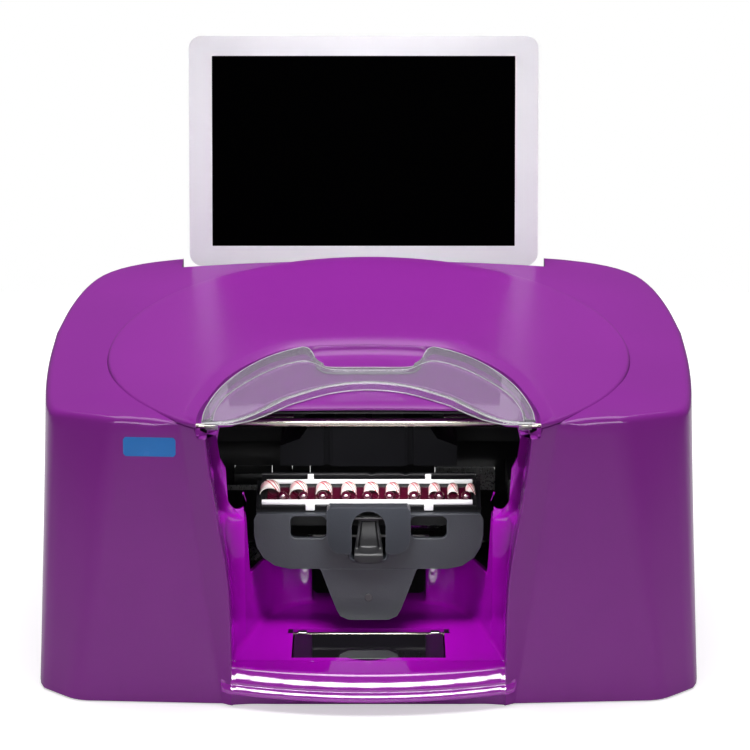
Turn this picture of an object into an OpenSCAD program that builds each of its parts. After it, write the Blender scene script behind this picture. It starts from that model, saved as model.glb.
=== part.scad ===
// Countertop nail printer with a hooded bay, a sliding nail platform and a tilting touch screen.
// Millimetres, +Z up. The front looks along -Y; X = 0 is the plane of symmetry. The origin is under
// the middle of the whole machine, on the surface it stands on.
// Pieces are drawn with y = 0 at the foot of the front wall and moved back by seat().

/* [Housing] */
// width of the housing at its widest
body_w = 431; // [421:1:441]
// depth of the housing, front foot to rear wall
body_d = 342; // [336:1:352]
// height of the top surface above the table, at the front
deck_z = 192; // [188:0.5:196]
// slope of the top surface towards the rear, degrees
deck_rise = 4.6; // [4.2:0.1:5]
// fall of the top surface from the middle to the sides
deck_crown = 9; // [7:0.5:11]
// thickness of the moulded walls
wall = 3; // [2.6:0.1:3.4]
// height of the rubber feet
foot_h = 3; // [2.5:0.5:4]
// radius of the rubber feet
foot_r = 12; // [9:0.5:15]

/* [Top disc] */
// radius of the round top cover
disc_r = 172; // [170:0.5:174]
// distance of its centre from the front
disc_y = 138; // [136:0.5:140]
// height of the disc surface near the front
disc_z = 187.5; // [186.5:0.5:188.5]
// tilt of the disc surface, degrees
disc_tilt = 6.6; // [6.3:0.1:6.9]
// thickness of the disc plate
disc_t = 3; // [2.5:0.1:3.5]
// depth of the disc's rim
rim_h = 12; // [11:0.5:13]
// depth of the recess the visor lies in
niche_depth = 8; // [7.6:0.1:8.6]

/* [Bay] */
// width of the bay opening at the top
bay_top_w = 205; // [203:0.5:207]
// width of the bay opening at the floor
bay_low_w = 173; // [170:0.5:176]
// height of the bay floor
floor_z = 23.5; // [22:0.5:25]
// how far the sill stands out in front of the housing
sill_out = 18; // [14:0.5:20]
// thickness of the bay liner
liner_t = 2.5; // [2:0.1:3]
// depth of the step in the bay walls
step_y = 58; // [54:1:62]

/* [Visor] */
// thickness of the clear visor
visor_t = 3; // [2.5:0.1:3.2]
// width of the visor
visor_w = 209; // [207:0.5:210]
// radius of the visor pins
visor_pin_r = 1.5; // [1.2:0.1:1.8]

/* [Screen] */
// width of the lit display
display_w = 216.5; // [205:0.5:225]
// height of the lit display
display_h = 135.5; // [126:0.5:142]
// width of the white rim round the display
screen_rim = 16.4; // [13:0.1:18]
// sideways place of the screen, left of the middle when below 0
screen_x = -4; // [-5:0.5:5]
// thickness of the screen's front frame
bezel_t = 9; // [8:0.5:11]
// backward tilt of the screen as shown, degrees
screen_tilt = 10.5; // [8:0.5:13]
// radius of the screen hinge pin
hinge_pin_r = 2; // [1.6:0.1:2.4]

/* [Platform] */
// width of the platform's front plate
plate_w = 149; // [145:0.5:151]
// height of the front plate's lower edge
plate_low = 68; // [66.5:0.5:69]
// height of the front plate's upper edge
plate_top = 105.7; // [104:0.5:107]
// thickness of the front plate and the tongue
plate_t = 4; // [3:0.5:4.5]
// height of the tongue's lower end
tongue_low = 33; // [31.5:0.5:36]
// inward travel of the platform
feed_travel = 62; // [50:1:63]
// slope of the nail bed, degrees
bed_tilt = 20; // [17:0.5:21]
// radius of the platform rods
feed_rod_r = 4; // [3:0.5:4.5]

/* [Carriage] */
// width of the print carriage
carriage_w = 116; // [108:1:122]
// sideways travel of the carriage to either side
carriage_travel = 80; // [60:1:84]
// radius of the carriage rod
rod_r = 4; // [3:0.5:5]
// radius of the polished bar in front of the carriage
bar_r = 3; // [2.5:0.5:3.5]
// pitch radius of the belt pulleys
pulley_r = 8; // [6:0.5:9]

/* [Floor lid] */
// width of the smoked lid
lid_w = 97; // [93:0.5:98]
// front to back length of the smoked lid
lid_l = 46.5; // [44:0.5:47]
// radius of the lid's hinge rod
lid_rod_r = 1.5; // [1.2:0.1:1.8]

/* [Fits] */
// gap between neighbouring mouldings
gap = 0.3; // [0.2:0.05:0.4]
// radial clearance of shafts that turn or slide
run_gap = 0.06; // [0.04:0.01:0.1]

/* [Hidden] */
$fn = 48;
skirt_z = foot_h - 2.4;                          // lower edge of the housing
sx = body_w / 431;
sy = body_d / 342;
crown_r = pow(186, 2) / (2 * deck_crown);
disc_crown_r = pow(172, 2) / (2 * 5);
niche_w = visor_w + 6;                           // visor recess at the front
visor_pin_end = niche_w / 2 + 2.5;
pocket_r = disc_r + gap;
ledge_r = disc_r - 12;
pin_y = 12;                                      // visor hinge line
pin_z = disc_z - 6;
bay_y = 12;                                      // rear face of the opening's rim
top_hw = bay_top_w / 2;
low_hw = bay_low_w / 2;
inner_hw = 77;                                   // bay walls behind the step
channel_hw = 38;                                 // slot the tongue moves back into
channel_end = 152;
deck_plate_z = 62;
side_t = 2;
tub_top = deck_plate_z + side_t - gap;
liner_top = deck_z - 16.6;
well_z = floor_z - 13;
lid_z = floor_z - 1;                             // upper face of the lid
lid_front = 25.5;
lid_back = lid_front + lid_l;
lid_axis_y = lid_back + 3.5;
lid_axis_z = lid_z - 1.5;
plate_y = 70;                                    // front face of the front plate
back_y = plate_y + plate_t;
bed_y = 77;                                      // front of the nail bed
bed_z = plate_top + 5.5;
feed_x = 62;
feed_z = plate_low + 16;
boss_end = back_y + 7;
block_y = boss_end + feed_travel + 1;            // front of the guide blocks
block_l = 34;
feed_rod_end = block_y + block_l + 6;
bar_y = 96;
bar_z = 160;
carriage_y = 106;                                // front face of the carriage
carriage_low = 127.5;
carriage_mid = 141;
carriage_top = 153.5;
carriage_l = 62;
rod_y = 156;
rod_z = 146;
belt_z = 148;
belt_y = carriage_y + carriage_l + 4 + pulley_r; // pulley axes
pulley_x = 138;
side_x = 150;                                    // inner faces of the side plates
roller_r = 9;
rack_z = plate_low + 20;
roller_y = block_y + 14;
roller_z = rack_z - gap - roller_r;
rear_y = body_d;
chassis_y0 = bar_y - 8;                          // side plates
chassis_y1 = rear_y - 80;
chassis_top = deck_z - 20;
panel_w = 240;
panel_z0 = 24;
panel_z1 = 184;
bezel_w = display_w + 2 * screen_rim;
bezel_h = display_h + 2 * (screen_rim - 2.2);
back_t = 5;
hinge_y = rear_y - 4;
hinge_z = deck_z + 22.3;
hinge_low = 5;                                   // screen below the hinge line
trough_z = hinge_z - 9.5;
screen_front = bezel_t + back_t;
// box of the whole machine, front to back
y_min = -sill_out;
y_max = max(rear_y, hinge_y + (bezel_h - hinge_low - 0.5) * sin(screen_tilt) - gap * cos(screen_tilt));
y_seat = -(y_min + y_max) / 2;

// ---- shared shapes ----

module seat() { translate([0, y_seat, 0]) children(); }

module both() { children(); mirror([1, 0, 0]) children(); }

// plan of the housing at the table and at z = 185, right half from the front to the rear
foot_half = [[60, 0.8], [120, 3.3], [187, 8], [213.5, 34], [215, 100], [215.5, 170], [213.5, 230],
    [208.5, 290], [200, 316], [186, 331], [166, 339], [140, 342]];
brow_half = [[60, 12.6], [110, 14], [158, 17], [204, 44], [210, 95], [213, 150], [213, 205],
    [208.5, 264], [199.5, 307], [187.5, 328], [166, 339], [140, 342]];

function plan(h) = [for (i = [0:len(foot_half) - 1]) let (k = h / 185)
    [sx * (foot_half[i][0] * (1 - k) + brow_half[i][0] * k),
     sy * (foot_half[i][1] * (1 - k) + brow_half[i][1] * k)]];
function mirrored(p) = [for (i = [len(p) - 1:-1:0]) [-p[i][0], p[i][1]]];

module plan_slice(h, inset) {
    translate([0, 0, h]) linear_extrude(0.01) offset(delta = -inset)
        polygon(concat(plan(h), mirrored(plan(h))));
}

// the housing's walls as one block, set in by an amount
module wall_block(inset) {
    hull() {
        plan_slice(skirt_z, inset);
        plan_slice(250, inset);
    }
}

// a long vault whose top sags by x * x / (2 * r), in flat strips
module vault(r) {
    rotate([90, 0, 0]) linear_extrude(1200, center = true) polygon(concat(
        [for (x = [-244:16:244]) [x, -x * x / (2 * r)]], [[244, -400], [-244, -400]]));
}

// everything under the top surface, lowered by d
module under_deck(d) {
    translate([0, 15, deck_z - d]) rotate([deck_rise, 0, 0]) vault(crown_r);
}

// everything under the surface of the top disc, lowered by d
module under_disc(d) {
    translate([0, 10, disc_z - d]) rotate([disc_tilt, 0, 0]) vault(disc_crown_r);
}

module disc_column(r, z0, z1) {
    translate([0, disc_y, z0]) cylinder(r = r, h = z1 - z0, $fn = 120);
}

// front view of the bay opening, right half from the bottom up
bay_half = [[low_hw, 18], [low_hw + 0.2, 58], [low_hw + 1.2, 84], [low_hw + 5.2, 111],
    [top_hw - 4, 150], [top_hw, 186], [top_hw, 240]];

module bay_profile(grow) {
    offset(delta = grow) polygon(concat(bay_half, mirrored(bay_half)));
}

// a front-view outline given depth from y0 to y1
module from_front(y0, y1) {
    translate([0, y1, 0]) rotate([90, 0, 0]) linear_extrude(y1 - y0) children();
}

module box(x0, x1, y0, y1, z0, z1) {
    translate([x0, y0, z0]) cube([x1 - x0, y1 - y0, z1 - z0]);
}

module slab(w, h, r) {
    square([w - 2 * r, h], center = true);
    square([w, h - 2 * r], center = true);
    for (i = [-1, 1], j = [-1, 1]) translate([i * (w / 2 - r), j * (h / 2 - r)]) circle(r = r);
}

module x_rod(r, x0, x1, y, z) {
    translate([x0, y, z]) rotate([0, 90, 0]) cylinder(r = r, h = x1 - x0);
}

module y_rod(r, y0, y1, x, z) {
    translate([x, y1, z]) rotate([90, 0, 0]) cylinder(r = r, h = y1 - y0);
}

// ---- housing ----

post_at = [[150 * sx, 14 * sy], [194 * sx, 308 * sy]];

// raised round rim beside the opening, grown by g
module drum(g) {
    intersection() {
        translate([0, disc_y, skirt_z])
            cylinder(r1 = disc_r - 7.5 + g, r2 = disc_r + g, h = disc_z - skirt_z, $fn = 120);
        both() box(low_hw - 2 - g, 140, -60, bay_y, 0, 260);
        under_disc(1);
    }
}

module housing() {
    color([0.42, 0.13, 0.45]) seat() difference() {
        union() {
            difference() {
                intersection() {
                    wall_block(0);
                    under_deck(0);
                }
                difference() {
                    intersection() {
                        wall_block(wall);
                        under_deck(wall);
                    }
                    difference() {                    // collar the disc's rim stands on
                        disc_column(pocket_r + wall, 150, 260);
                        under_disc(rim_h + wall);
                    }
                    box(screen_x - 134, screen_x + 134, rear_y - 26, rear_y + 5, trough_z - wall, 260);
                    both() for (p = post_at) translate([p[0], p[1], foot_h + wall + gap])
                        cylinder(r = 5, h = 40);
                }
                translate([0, 0, skirt_z - 1]) linear_extrude(wall + 1)
                    offset(delta = -wall) polygon(concat(plan(0), mirrored(plan(0))));
            }
            drum(0);
            intersection() {                          // returned rim of the opening
                wall_block(0);
                under_deck(2);
                from_front(-20, bay_y) bay_profile(wall + 2);
            }
        }
        from_front(-60, bay_y + 30) bay_profile(0);
        from_front(bay_y, bay_y + 30) bay_profile(liner_t + gap);
        difference() {                                // pocket for the disc
            disc_column(pocket_r, 150, 260);
            under_disc(rim_h);
        }
        disc_column(ledge_r, 150, 260);
        both() box(96, niche_w / 2, -60, bay_y, pin_z - 3.5, 260);   // room for the ends of the visor
        box(screen_x - 130, screen_x + 130, rear_y - 23, rear_y + 5, trough_z, 260);
        from_front(rear_y - 8, rear_y + 5) translate([0, (panel_z0 + panel_z1) / 2])
            slab(panel_w, panel_z1 - panel_z0, 6);
        both() for (p = post_at) translate([p[0], p[1], 0]) cylinder(r = 1.6, h = 30);
    }
}

niche_half = [[niche_w / 2, -60], [niche_w / 2, 24], [105.6, 37], [102, 52], [97.6, 69.5], [93, 84],
    [86.3, 97.6], [79.2, 109], [70.5, 120], [61, 129.8], [53.6, 135.6], [46.2, 138.8], [31, 140.5],
    [16, 141.8]];

module niche(grow) {
    offset(delta = grow) polygon(concat(niche_half, mirrored(niche_half)));
}

module top_disc() {
    color([0.6, 0.22, 0.64]) seat() difference() {
        intersection() {
            disc_column(disc_r, 150, 260);
            under_disc(0);
            union() {
                difference() {
                    disc_column(disc_r, 150, 260);
                    under_disc(disc_t);
                }
                difference() {
                    disc_column(disc_r, 150, 260);
                    disc_column(disc_r - 3.5, 140, 270);
                    under_disc(rim_h);
                }
                difference() {
                    translate([0, 0, 150]) linear_extrude(100) niche(wall);
                    under_disc(niche_depth + wall);
                }
            }
        }
        difference() {
            translate([0, 0, 150]) linear_extrude(110) niche(0);
            under_disc(niche_depth);
        }
        translate([0, 0, 140]) linear_extrude(120) polygon([[-niche_w / 2, -80], [niche_w / 2, -80],
            [niche_w / 2, 20], [86, 22], [60, 46], [-60, 46], [-86, 22], [-niche_w / 2, 20]]);
        both() x_rod(visor_pin_r, niche_w / 2 - 15, visor_pin_end, pin_y, pin_z);
    }
}

// floor of the bay, right half from the front to the channel
floor_half = [[low_hw, bay_y + gap], [low_hw - 1, 40], [81, 60], [75, 84], [68.5, 104], [59, 120],
    [48, 129], [channel_hw, 132], [channel_hw, channel_end]];

module floor_plan(grow) {
    offset(delta = grow) polygon(concat(floor_half, mirrored(floor_half)));
}

module bay_liner() {
    color([0.6, 0.05, 0.66]) seat() difference() {
        union() {
            from_front(bay_y + gap, step_y + liner_t) difference() {
                bay_profile(liner_t);
                bay_profile(0);
                translate([-150, liner_top]) square([300, 100]);
                translate([-150, 0]) square([300, floor_z - liner_t]);
            }
            translate([0, 0, floor_z - liner_t]) linear_extrude(tub_top - floor_z + liner_t)
                difference() {
                    intersection() {
                        floor_plan(liner_t);
                        translate([-150, bay_y + gap]) square([300, 300]);
                    }
                    floor_plan(0);
                }
            translate([0, 0, floor_z - liner_t]) linear_extrude(liner_t) intersection() {
                floor_plan(liner_t);
                translate([-150, bay_y + gap]) square([300, 300]);
            }
            both() {
                from_front(step_y, step_y + liner_t) difference() {
                    polygon([[inner_hw, floor_z], [low_hw + 2, floor_z], [low_hw + 2, 84],
                        [low_hw + 6, 111], [low_hw + 8, 122], [inner_hw, 122]]);
                    translate([(inner_hw + liner_t + low_hw + 5.5) / 2, 118])
                        circle(r = (low_hw + 5.5 - inner_hw - liner_t) / 2);
                    translate([inner_hw + liner_t, 118]) square([20, 20]);
                }
                from_front(step_y, step_y + liner_t)
                    polygon([[93.6, liner_top], [low_hw + 16, 152], [low_hw + 17, liner_top]]);
                box(inner_hw, inner_hw + liner_t, step_y, step_y + 22, floor_z, 112);
            }
        }
        box(-lid_w / 2 - 1, lid_w / 2 + 1, lid_front - 1, lid_back + 8, 0, floor_z + 5);
        box(-lid_w / 2 - 4.5, lid_w / 2 + 4.5, lid_axis_y - 4.5, lid_back + 8, 0, floor_z + 5);
    }
}

module sill() {
    arc = 260;
    color([0.55, 0.08, 0.6]) seat() difference() {
        translate([0, arc - sill_out, 0]) rotate([0, 0, -110.8])
            rotate_extrude(angle = 41.6, $fn = 360)
            union() {
                translate([arc - 9, 17]) circle(r = 9);
                translate([arc - 30, 8]) square([21, 18]);
            }
        box(-200, 200, bay_y, 90, 0, 60);
        both() box(low_hw - 1, 200, -60, 90, 0, 60);
        difference() {                                // lies on the front wall and in the opening
            union() {
                intersection() {
                    wall_block(-gap);
                    box(-200, 200, -30, 90, 0, 60);
                }
                drum(gap);
            }
            from_front(-30, 90) bay_profile(-gap);
        }
    }
}

module lid_well() {
    color([0.06, 0.06, 0.07]) seat() difference() {
        union() {
            box(-lid_w / 2 - 4, lid_w / 2 + 4, lid_front - 3, lid_back + 10, well_z - 2, floor_z - liner_t);
            both() box(lid_w / 2 + 1, lid_w / 2 + 4, lid_axis_y - 4, lid_axis_y + 4, well_z, floor_z - gap);
        }
        box(-lid_w / 2 - 1, lid_w / 2 + 1, lid_front - 1, lid_back + 8, well_z, floor_z + 1);
        x_rod(lid_rod_r + 0.02, -lid_w, lid_w, lid_axis_y, lid_axis_z);
    }
}

// ---- base and rear ----

module base_plate() {
    color([0.1, 0.1, 0.11]) seat() difference() {
        intersection() {
            wall_block(wall + gap);
            box(-300, 300, -20, 400, foot_h, foot_h + wall);
        }
        drum(gap);
        both() for (p = post_at) translate([p[0], p[1], 0]) cylinder(r = 1.6, h = 30);
    }
}

module feet() {
    color([0.05, 0.05, 0.05]) seat() both() for (y = [60, body_d - 45])
        translate([140, y, 0]) cylinder(r = foot_r, h = foot_h);
}

module base_screws() {
    color([0.6, 0.6, 0.62]) seat() both() for (p = post_at) translate([p[0], p[1], foot_h - 1.8]) {
        cylinder(r = 3, h = 1.8);
        cylinder(r = 1.6, h = 16);
    }
}

inlet_x = -85;
inlet_z = 48;
switch_x = -50;
ports_x = 70;

module rear_panel() {
    color([0.16, 0.15, 0.17]) seat() difference() {
        union() {
            from_front(rear_y - 2.5, rear_y) translate([0, (panel_z0 + panel_z1) / 2])
                slab(panel_w - 2 * gap, panel_z1 - panel_z0 - 2 * gap, 6);
            from_front(rear_y - wall - 2, rear_y - 2.5) difference() {
                translate([0, (panel_z0 + panel_z1) / 2])
                    slab(panel_w - 2 * gap, panel_z1 - panel_z0 - 2 * gap, 6);
                translate([0, (panel_z0 + panel_z1) / 2]) slab(panel_w - 8, panel_z1 - panel_z0 - 8, 4);
            }
        }
        for (i = [-8:8]) translate([i * 10, rear_y - 8, 120]) cube([4, 16, 44]);
        from_front(rear_y - 9, rear_y + 9) translate([inlet_x, inlet_z]) square([27.6, 19.8], center = true);
        from_front(rear_y - 9, rear_y + 9) translate([switch_x, inlet_z]) square([13.4, 19.2], center = true);
        from_front(rear_y - 9, rear_y + 9) translate([ports_x, inlet_z]) square([44, 17], center = true);
    }
}

module power_inlet() {
    color([0.05, 0.05, 0.05]) seat() difference() {
        from_front(rear_y - 22, rear_y) translate([inlet_x, inlet_z]) square([27, 19.2], center = true);
        from_front(rear_y - 16, rear_y + 5) translate([inlet_x, inlet_z]) square([23, 15], center = true);
    }
    color([0.7, 0.7, 0.7]) seat() for (i = [-7, 0, 7])
        translate([inlet_x + i - 1, rear_y - 17, inlet_z + (i == 0 ? 1 : -4)]) cube([2, 12, 4]);
}

module switch_frame() {
    color([0.05, 0.05, 0.05]) seat() difference() {
        from_front(rear_y - 14, rear_y) translate([switch_x, inlet_z]) square([12.8, 18.6], center = true);
        from_front(rear_y - 11, rear_y + 5) translate([switch_x, inlet_z]) square([10, 15.6], center = true);
        x_rod(0.8 + run_gap, switch_x - 7, switch_x + 7, rear_y - 5, inlet_z);
    }
}

module rocker() {
    color([0.1, 0.1, 0.1]) seat() intersection() {
        union() {
            difference() {
                x_rod(7.2, switch_x - 4.7, switch_x + 4.7, rear_y - 5, inlet_z);
                x_rod(16, switch_x - 6, switch_x + 6, rear_y + 12.5, inlet_z);
                box(switch_x - 6, switch_x + 6, rear_y - 20, rear_y - 7, inlet_z - 20, inlet_z + 20);
            }
            x_rod(0.8, switch_x - 6, switch_x + 6, rear_y - 5, inlet_z);
        }
        box(switch_x - 7, switch_x + 7, rear_y - 20, rear_y + 1, inlet_z - 20, inlet_z + 20);
    }
}

module port_block() {
    color([0.7, 0.7, 0.72]) seat() difference() {
        box(ports_x - 21.7, ports_x + 21.7, rear_y - 20, rear_y - 0.5, inlet_z - 8.2, inlet_z + 8.2);
        box(ports_x - 19, ports_x - 3, rear_y - 14, rear_y + 1, inlet_z - 7, inlet_z + 7);
        for (z = [-6, 1]) box(ports_x + 3, ports_x + 17, rear_y - 14, rear_y + 1, inlet_z + z, inlet_z + z + 5);
    }
}

module main_board() {
    color([0.1, 0.3, 0.16]) seat() {
        box(side_x + side_t, side_x + side_t + 1.6, 120, 250, 24, 120);
        for (y = [135, 190], z = [40, 85])
            box(side_x + side_t + 1.6, side_x + side_t + 5, y, y + 26, z, z + 20);
    }
}

module power_supply() {
    color([0.55, 0.56, 0.58]) seat() difference() {
        box(-side_x + 14, -side_x + 84, 190, 310, foot_h + wall, 52);
        for (i = [0:6]) box(-side_x, -side_x + 100, 200 + i * 14, 206 + i * 14, 40, 60);
        box(-side_x + 16, -side_x + 82, 192, 308, foot_h + wall + 20, 50);
    }
}

// ---- chassis ----

module side_plates() {
    color([0.07, 0.07, 0.08]) seat() both() difference() {
        union() {
            box(side_x, side_x + side_t, chassis_y0, chassis_y1, foot_h + wall, chassis_top);
            box(side_x - 12, side_x, chassis_y0, chassis_y1, foot_h + wall, foot_h + wall + side_t);
        }
        x_rod(bar_r + 0.02, side_x - 5, side_x + 5, bar_y, bar_z);
        x_rod(rod_r + 0.02, side_x - 5, side_x + 5, rod_y, rod_z);
        box(side_x - 1, side_x + 5, 200, 250, 150, 160);
    }
}

module feed_deck() {
    color([0.09, 0.09, 0.1]) seat() difference() {
        union() {
            box(-side_x, side_x, block_y - 2, chassis_y1 - 4, deck_plate_z, deck_plate_z + side_t);
            both() box(side_x - side_t, side_x, block_y - 2, chassis_y1 - 4, deck_plate_z - 10, deck_plate_z);
        }
        box(-channel_hw - liner_t - 1, channel_hw + liner_t + 1, block_y - 5, channel_end + liner_t + 1,
            deck_plate_z - 5, deck_plate_z + 5);
    }
}

module rear_beam() {
    color([0.09, 0.09, 0.1]) seat() {
        box(-side_x, side_x, chassis_y1 - 4, chassis_y1, 100, chassis_top);
        box(-side_x, side_x, belt_y + pulley_r + 6, chassis_y1, 128, 130);
        difference() {
            both() box(pulley_x - 14, side_x, belt_y - 10, belt_y + pulley_r + 6, 128, 130);
            translate([-pulley_x, belt_y, 120]) cylinder(r = 3, h = 20);
        }
    }
}

module front_bar() {
    color([0.8, 0.8, 0.78]) seat() x_rod(bar_r, -side_x - side_t, side_x + side_t, bar_y, bar_z);
}

module rail_strip() {
    color([0.3, 0.3, 0.31]) seat() {
        box(-side_x, side_x, bar_y + 2, bar_y + 18, bar_z + 5, bar_z + 6.2);
        box(-side_x, side_x, bar_y + 16.8, bar_y + 18, bar_z + 6.2, bar_z + 14);
    }
}

module carriage_rod() {
    color([0.8, 0.8, 0.8]) seat() x_rod(rod_r, -side_x - side_t, side_x + side_t, rod_y, rod_z);
}

module encoder_strip() {
    color([0.8, 0.8, 0.82, 0.5]) seat()
        box(-side_x, side_x, carriage_y + carriage_l + 1.5, carriage_y + carriage_l + 1.8, 160, 168);
}

module drive_belt() {
    color([0.05, 0.05, 0.05]) seat() translate([0, belt_y, belt_z - 3]) linear_extrude(6) difference() {
        union() {
            for (i = [-1, 1]) translate([i * pulley_x, 0]) circle(r = pulley_r + 1.2);
            square([2 * pulley_x, 2 * pulley_r + 2.4], center = true);
        }
        for (i = [-1, 1]) translate([i * pulley_x, 0]) circle(r = pulley_r + run_gap);
        square([2 * pulley_x, 2 * pulley_r + 2 * run_gap], center = true);
    }
}

module pulley(side) {
    difference() {
        union() {
            translate([side * pulley_x, belt_y, belt_z - 5]) cylinder(r = pulley_r + 2, h = 1.5);
            translate([side * pulley_x, belt_y, belt_z - 4]) cylinder(r = pulley_r, h = 8);
            translate([side * pulley_x, belt_y, belt_z + 3.5]) cylinder(r = pulley_r + 2, h = 1.5);
        }
        translate([side * pulley_x, belt_y, belt_z - 10]) cylinder(r = 2.5 + run_gap, h = 20);
    }
}

module drive_pulley() { color([0.75, 0.7, 0.5]) seat() pulley(-1); }

module idler_pulley() { color([0.75, 0.7, 0.5]) seat() pulley(1); }

module carriage_motor() {
    color([0.2, 0.2, 0.22]) seat() {
        translate([-pulley_x, belt_y, 94]) cylinder(r = 11, h = 34);
        translate([-pulley_x, belt_y, 130]) cylinder(r = 5, h = belt_z - 5.3 - 130);
        translate([-pulley_x, belt_y, 120]) cylinder(r = 2.5, h = belt_z + 6 - 120);
    }
}

module idler_post() {
    color([0.6, 0.6, 0.62]) seat() {
        translate([pulley_x, belt_y, 130]) cylinder(r = 5, h = belt_z - 5.3 - 130);
        translate([pulley_x, belt_y, 130]) cylinder(r = 2.5, h = belt_z + 6 - 130);
    }
}

module service_station() {
    color([0.12, 0.12, 0.13]) seat() {
        box(92, side_x, 112, 160, 100, 116);
        box(side_x - 6, side_x, 112, 160, 80, 100);
        for (x = [98, 124]) difference() {
            box(x, x + 18, 122, 148, 116, 121);
            box(x + 2, x + 16, 124, 146, 118, 122);
        }
    }
}

module guide_blocks() {
    color([0.1, 0.1, 0.11]) seat() both() difference() {
        box(feed_x - 9, feed_x + 9, block_y, block_y + block_l, deck_plate_z + side_t, feed_z + 8);
        y_rod(feed_rod_r + run_gap, block_y - 5, block_y + block_l + 5, feed_x, feed_z);
    }
}

module feed_motor() {
    color([0.2, 0.2, 0.22]) seat() {
        x_rod(12, 16, 50, roller_y, roller_z);
        x_rod(2, -8, 16, roller_y, roller_z);
        box(16, 19, roller_y - 12, roller_y + 12, deck_plate_z + side_t, roller_z);
    }
}

module feed_roller() {
    color([0.3, 0.3, 0.3]) seat() difference() {
        x_rod(roller_r, -6, 6, roller_y, roller_z);
        x_rod(2 + run_gap, -10, 10, roller_y, roller_z);
    }
}

// ---- floor lid ----

knuckle_x = lid_w / 2 - 5;

module lid_rod() {
    color([0.85, 0.85, 0.83]) seat() x_rod(lid_rod_r, -lid_w / 2 - 3, lid_w / 2 + 3, lid_axis_y, lid_axis_z);
}

module floor_lid() {
    color([0.03, 0.03, 0.04]) seat() difference() {
        union() {
            box(-lid_w / 2, lid_w / 2, lid_front, lid_back, lid_z - 2.5, lid_z);
            both() {
                box(knuckle_x - 3, knuckle_x + 3, lid_back - 2, lid_axis_y, lid_z - 2.5, lid_z);
                x_rod(lid_rod_r + 1.3, knuckle_x - 3, knuckle_x + 3, lid_axis_y, lid_axis_z);
            }
        }
        x_rod(lid_rod_r + run_gap, -lid_w, lid_w, lid_axis_y, lid_axis_z);
    }
}

// ---- visor ----

visor_half = [[visor_w / 2, 18], [104.2, 28], [102, 41.5], [99, 56], [94.5, 71], [88.8, 85], [83, 96.5],
    [76.5, 107], [70, 116], [63, 123.5], [55.5, 130], [48.5, 134.5], [42.5, 136.8], [38.5, 134],
    [36, 127], [34, 113.5], [31.2, 106], [27.8, 101.3], [23, 99.8]];
visor_bell = [[visor_w / 2 - 2, 11.8], [96, 10.9], [87, 11.3], [80.8, 14.6], [73, 21.6], [66.2, 30],
    [58.5, 39.8], [51.5, 49], [43.6, 55], [36, 61], [28.4, 66.3], [21, 70], [14, 72.5], [6, 74]];

module visor_plan() {
    polygon(concat([for (i = [len(visor_bell) - 1:-1:0]) visor_bell[i]], visor_half, mirrored(visor_half),
        [for (i = [0:len(visor_bell) - 1]) [-visor_bell[i][0], visor_bell[i][1]]]));
}

module visor_pins() {
    color([0.8, 0.8, 0.8]) seat() both() x_rod(visor_pin_r, visor_w / 2 - 9, visor_pin_end, pin_y, pin_z);
}

module visor() {
    color([0.8, 0.82, 0.84, 0.35]) seat() difference() {
        union() {
            difference() {
                translate([0, 0, 150]) linear_extrude(90) visor_plan();
                difference() {
                    translate([0, 0, 140]) linear_extrude(120) square(600, center = true);
                    under_disc(1.5);
                }
                under_disc(1.5 + visor_t);
            }
            intersection() {                          // turned-down edge along the arcs
                difference() {
                    translate([0, 0, 150]) linear_extrude(90) difference() {
                        visor_plan();
                        offset(delta = -2.5) visor_plan();
                    }
                    under_disc(niche_depth - 0.8);
                }
                under_disc(1.5 + visor_t / 2);
                box(-visor_w, visor_w, 24, 200, 100, 300);
            }
            both() x_rod(2.8, visor_w / 2 - 11, visor_w / 2 - 2.4, pin_y, pin_z);
        }
        both() x_rod(visor_pin_r + run_gap, visor_w / 2 - 9 - gap, 120, pin_y, pin_z);
    }
}

// ---- screen ----

module screen_at() { translate([screen_x, hinge_y, hinge_z]) rotate([-screen_tilt, 0, 0]) children(); }

module screen_bracket() {
    color([0.12, 0.12, 0.13]) seat() translate([screen_x, 0, 0]) difference() {
        union() {
            box(-40, 40, hinge_y - 5, rear_y, trough_z, trough_z + 2);
            both() {
                box(27, 37, hinge_y - 4, hinge_y + 4, trough_z, hinge_z);
                x_rod(4, 27, 37, hinge_y, hinge_z);
            }
        }
        x_rod(hinge_pin_r + 0.02, -60, 60, hinge_y, hinge_z);
    }
}

module screen_pin() {
    color([0.7, 0.7, 0.7]) seat() x_rod(hinge_pin_r, screen_x - 39, screen_x + 39, hinge_y, hinge_z);
}

module screen_slab(w, h, r, y0, y1) {
    screen_at() translate([0, y1, bezel_h / 2 - hinge_low]) rotate([90, 0, 0])
        linear_extrude(y1 - y0) slab(w, h, r);
}

module screen_frame() {
    color([0.93, 0.93, 0.95]) seat() difference() {
        screen_slab(bezel_w, bezel_h, 9, -screen_front, -back_t);
        screen_slab(display_w, display_h, 0.5, -screen_front - 1, 0);
        screen_slab(bezel_w - 8, bezel_h - 8, 6, -screen_front + 3, 0);
    }
}

module screen_glass() {
    color([0.01, 0.01, 0.012]) seat() union() {
        screen_slab(display_w - 2 * gap, display_h - 2 * gap, 0.4, -screen_front + 0.6, -screen_front + 3);
        screen_slab(display_w + 10, display_h + 8, 2, -screen_front + 3, -back_t);
    }
}

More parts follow.
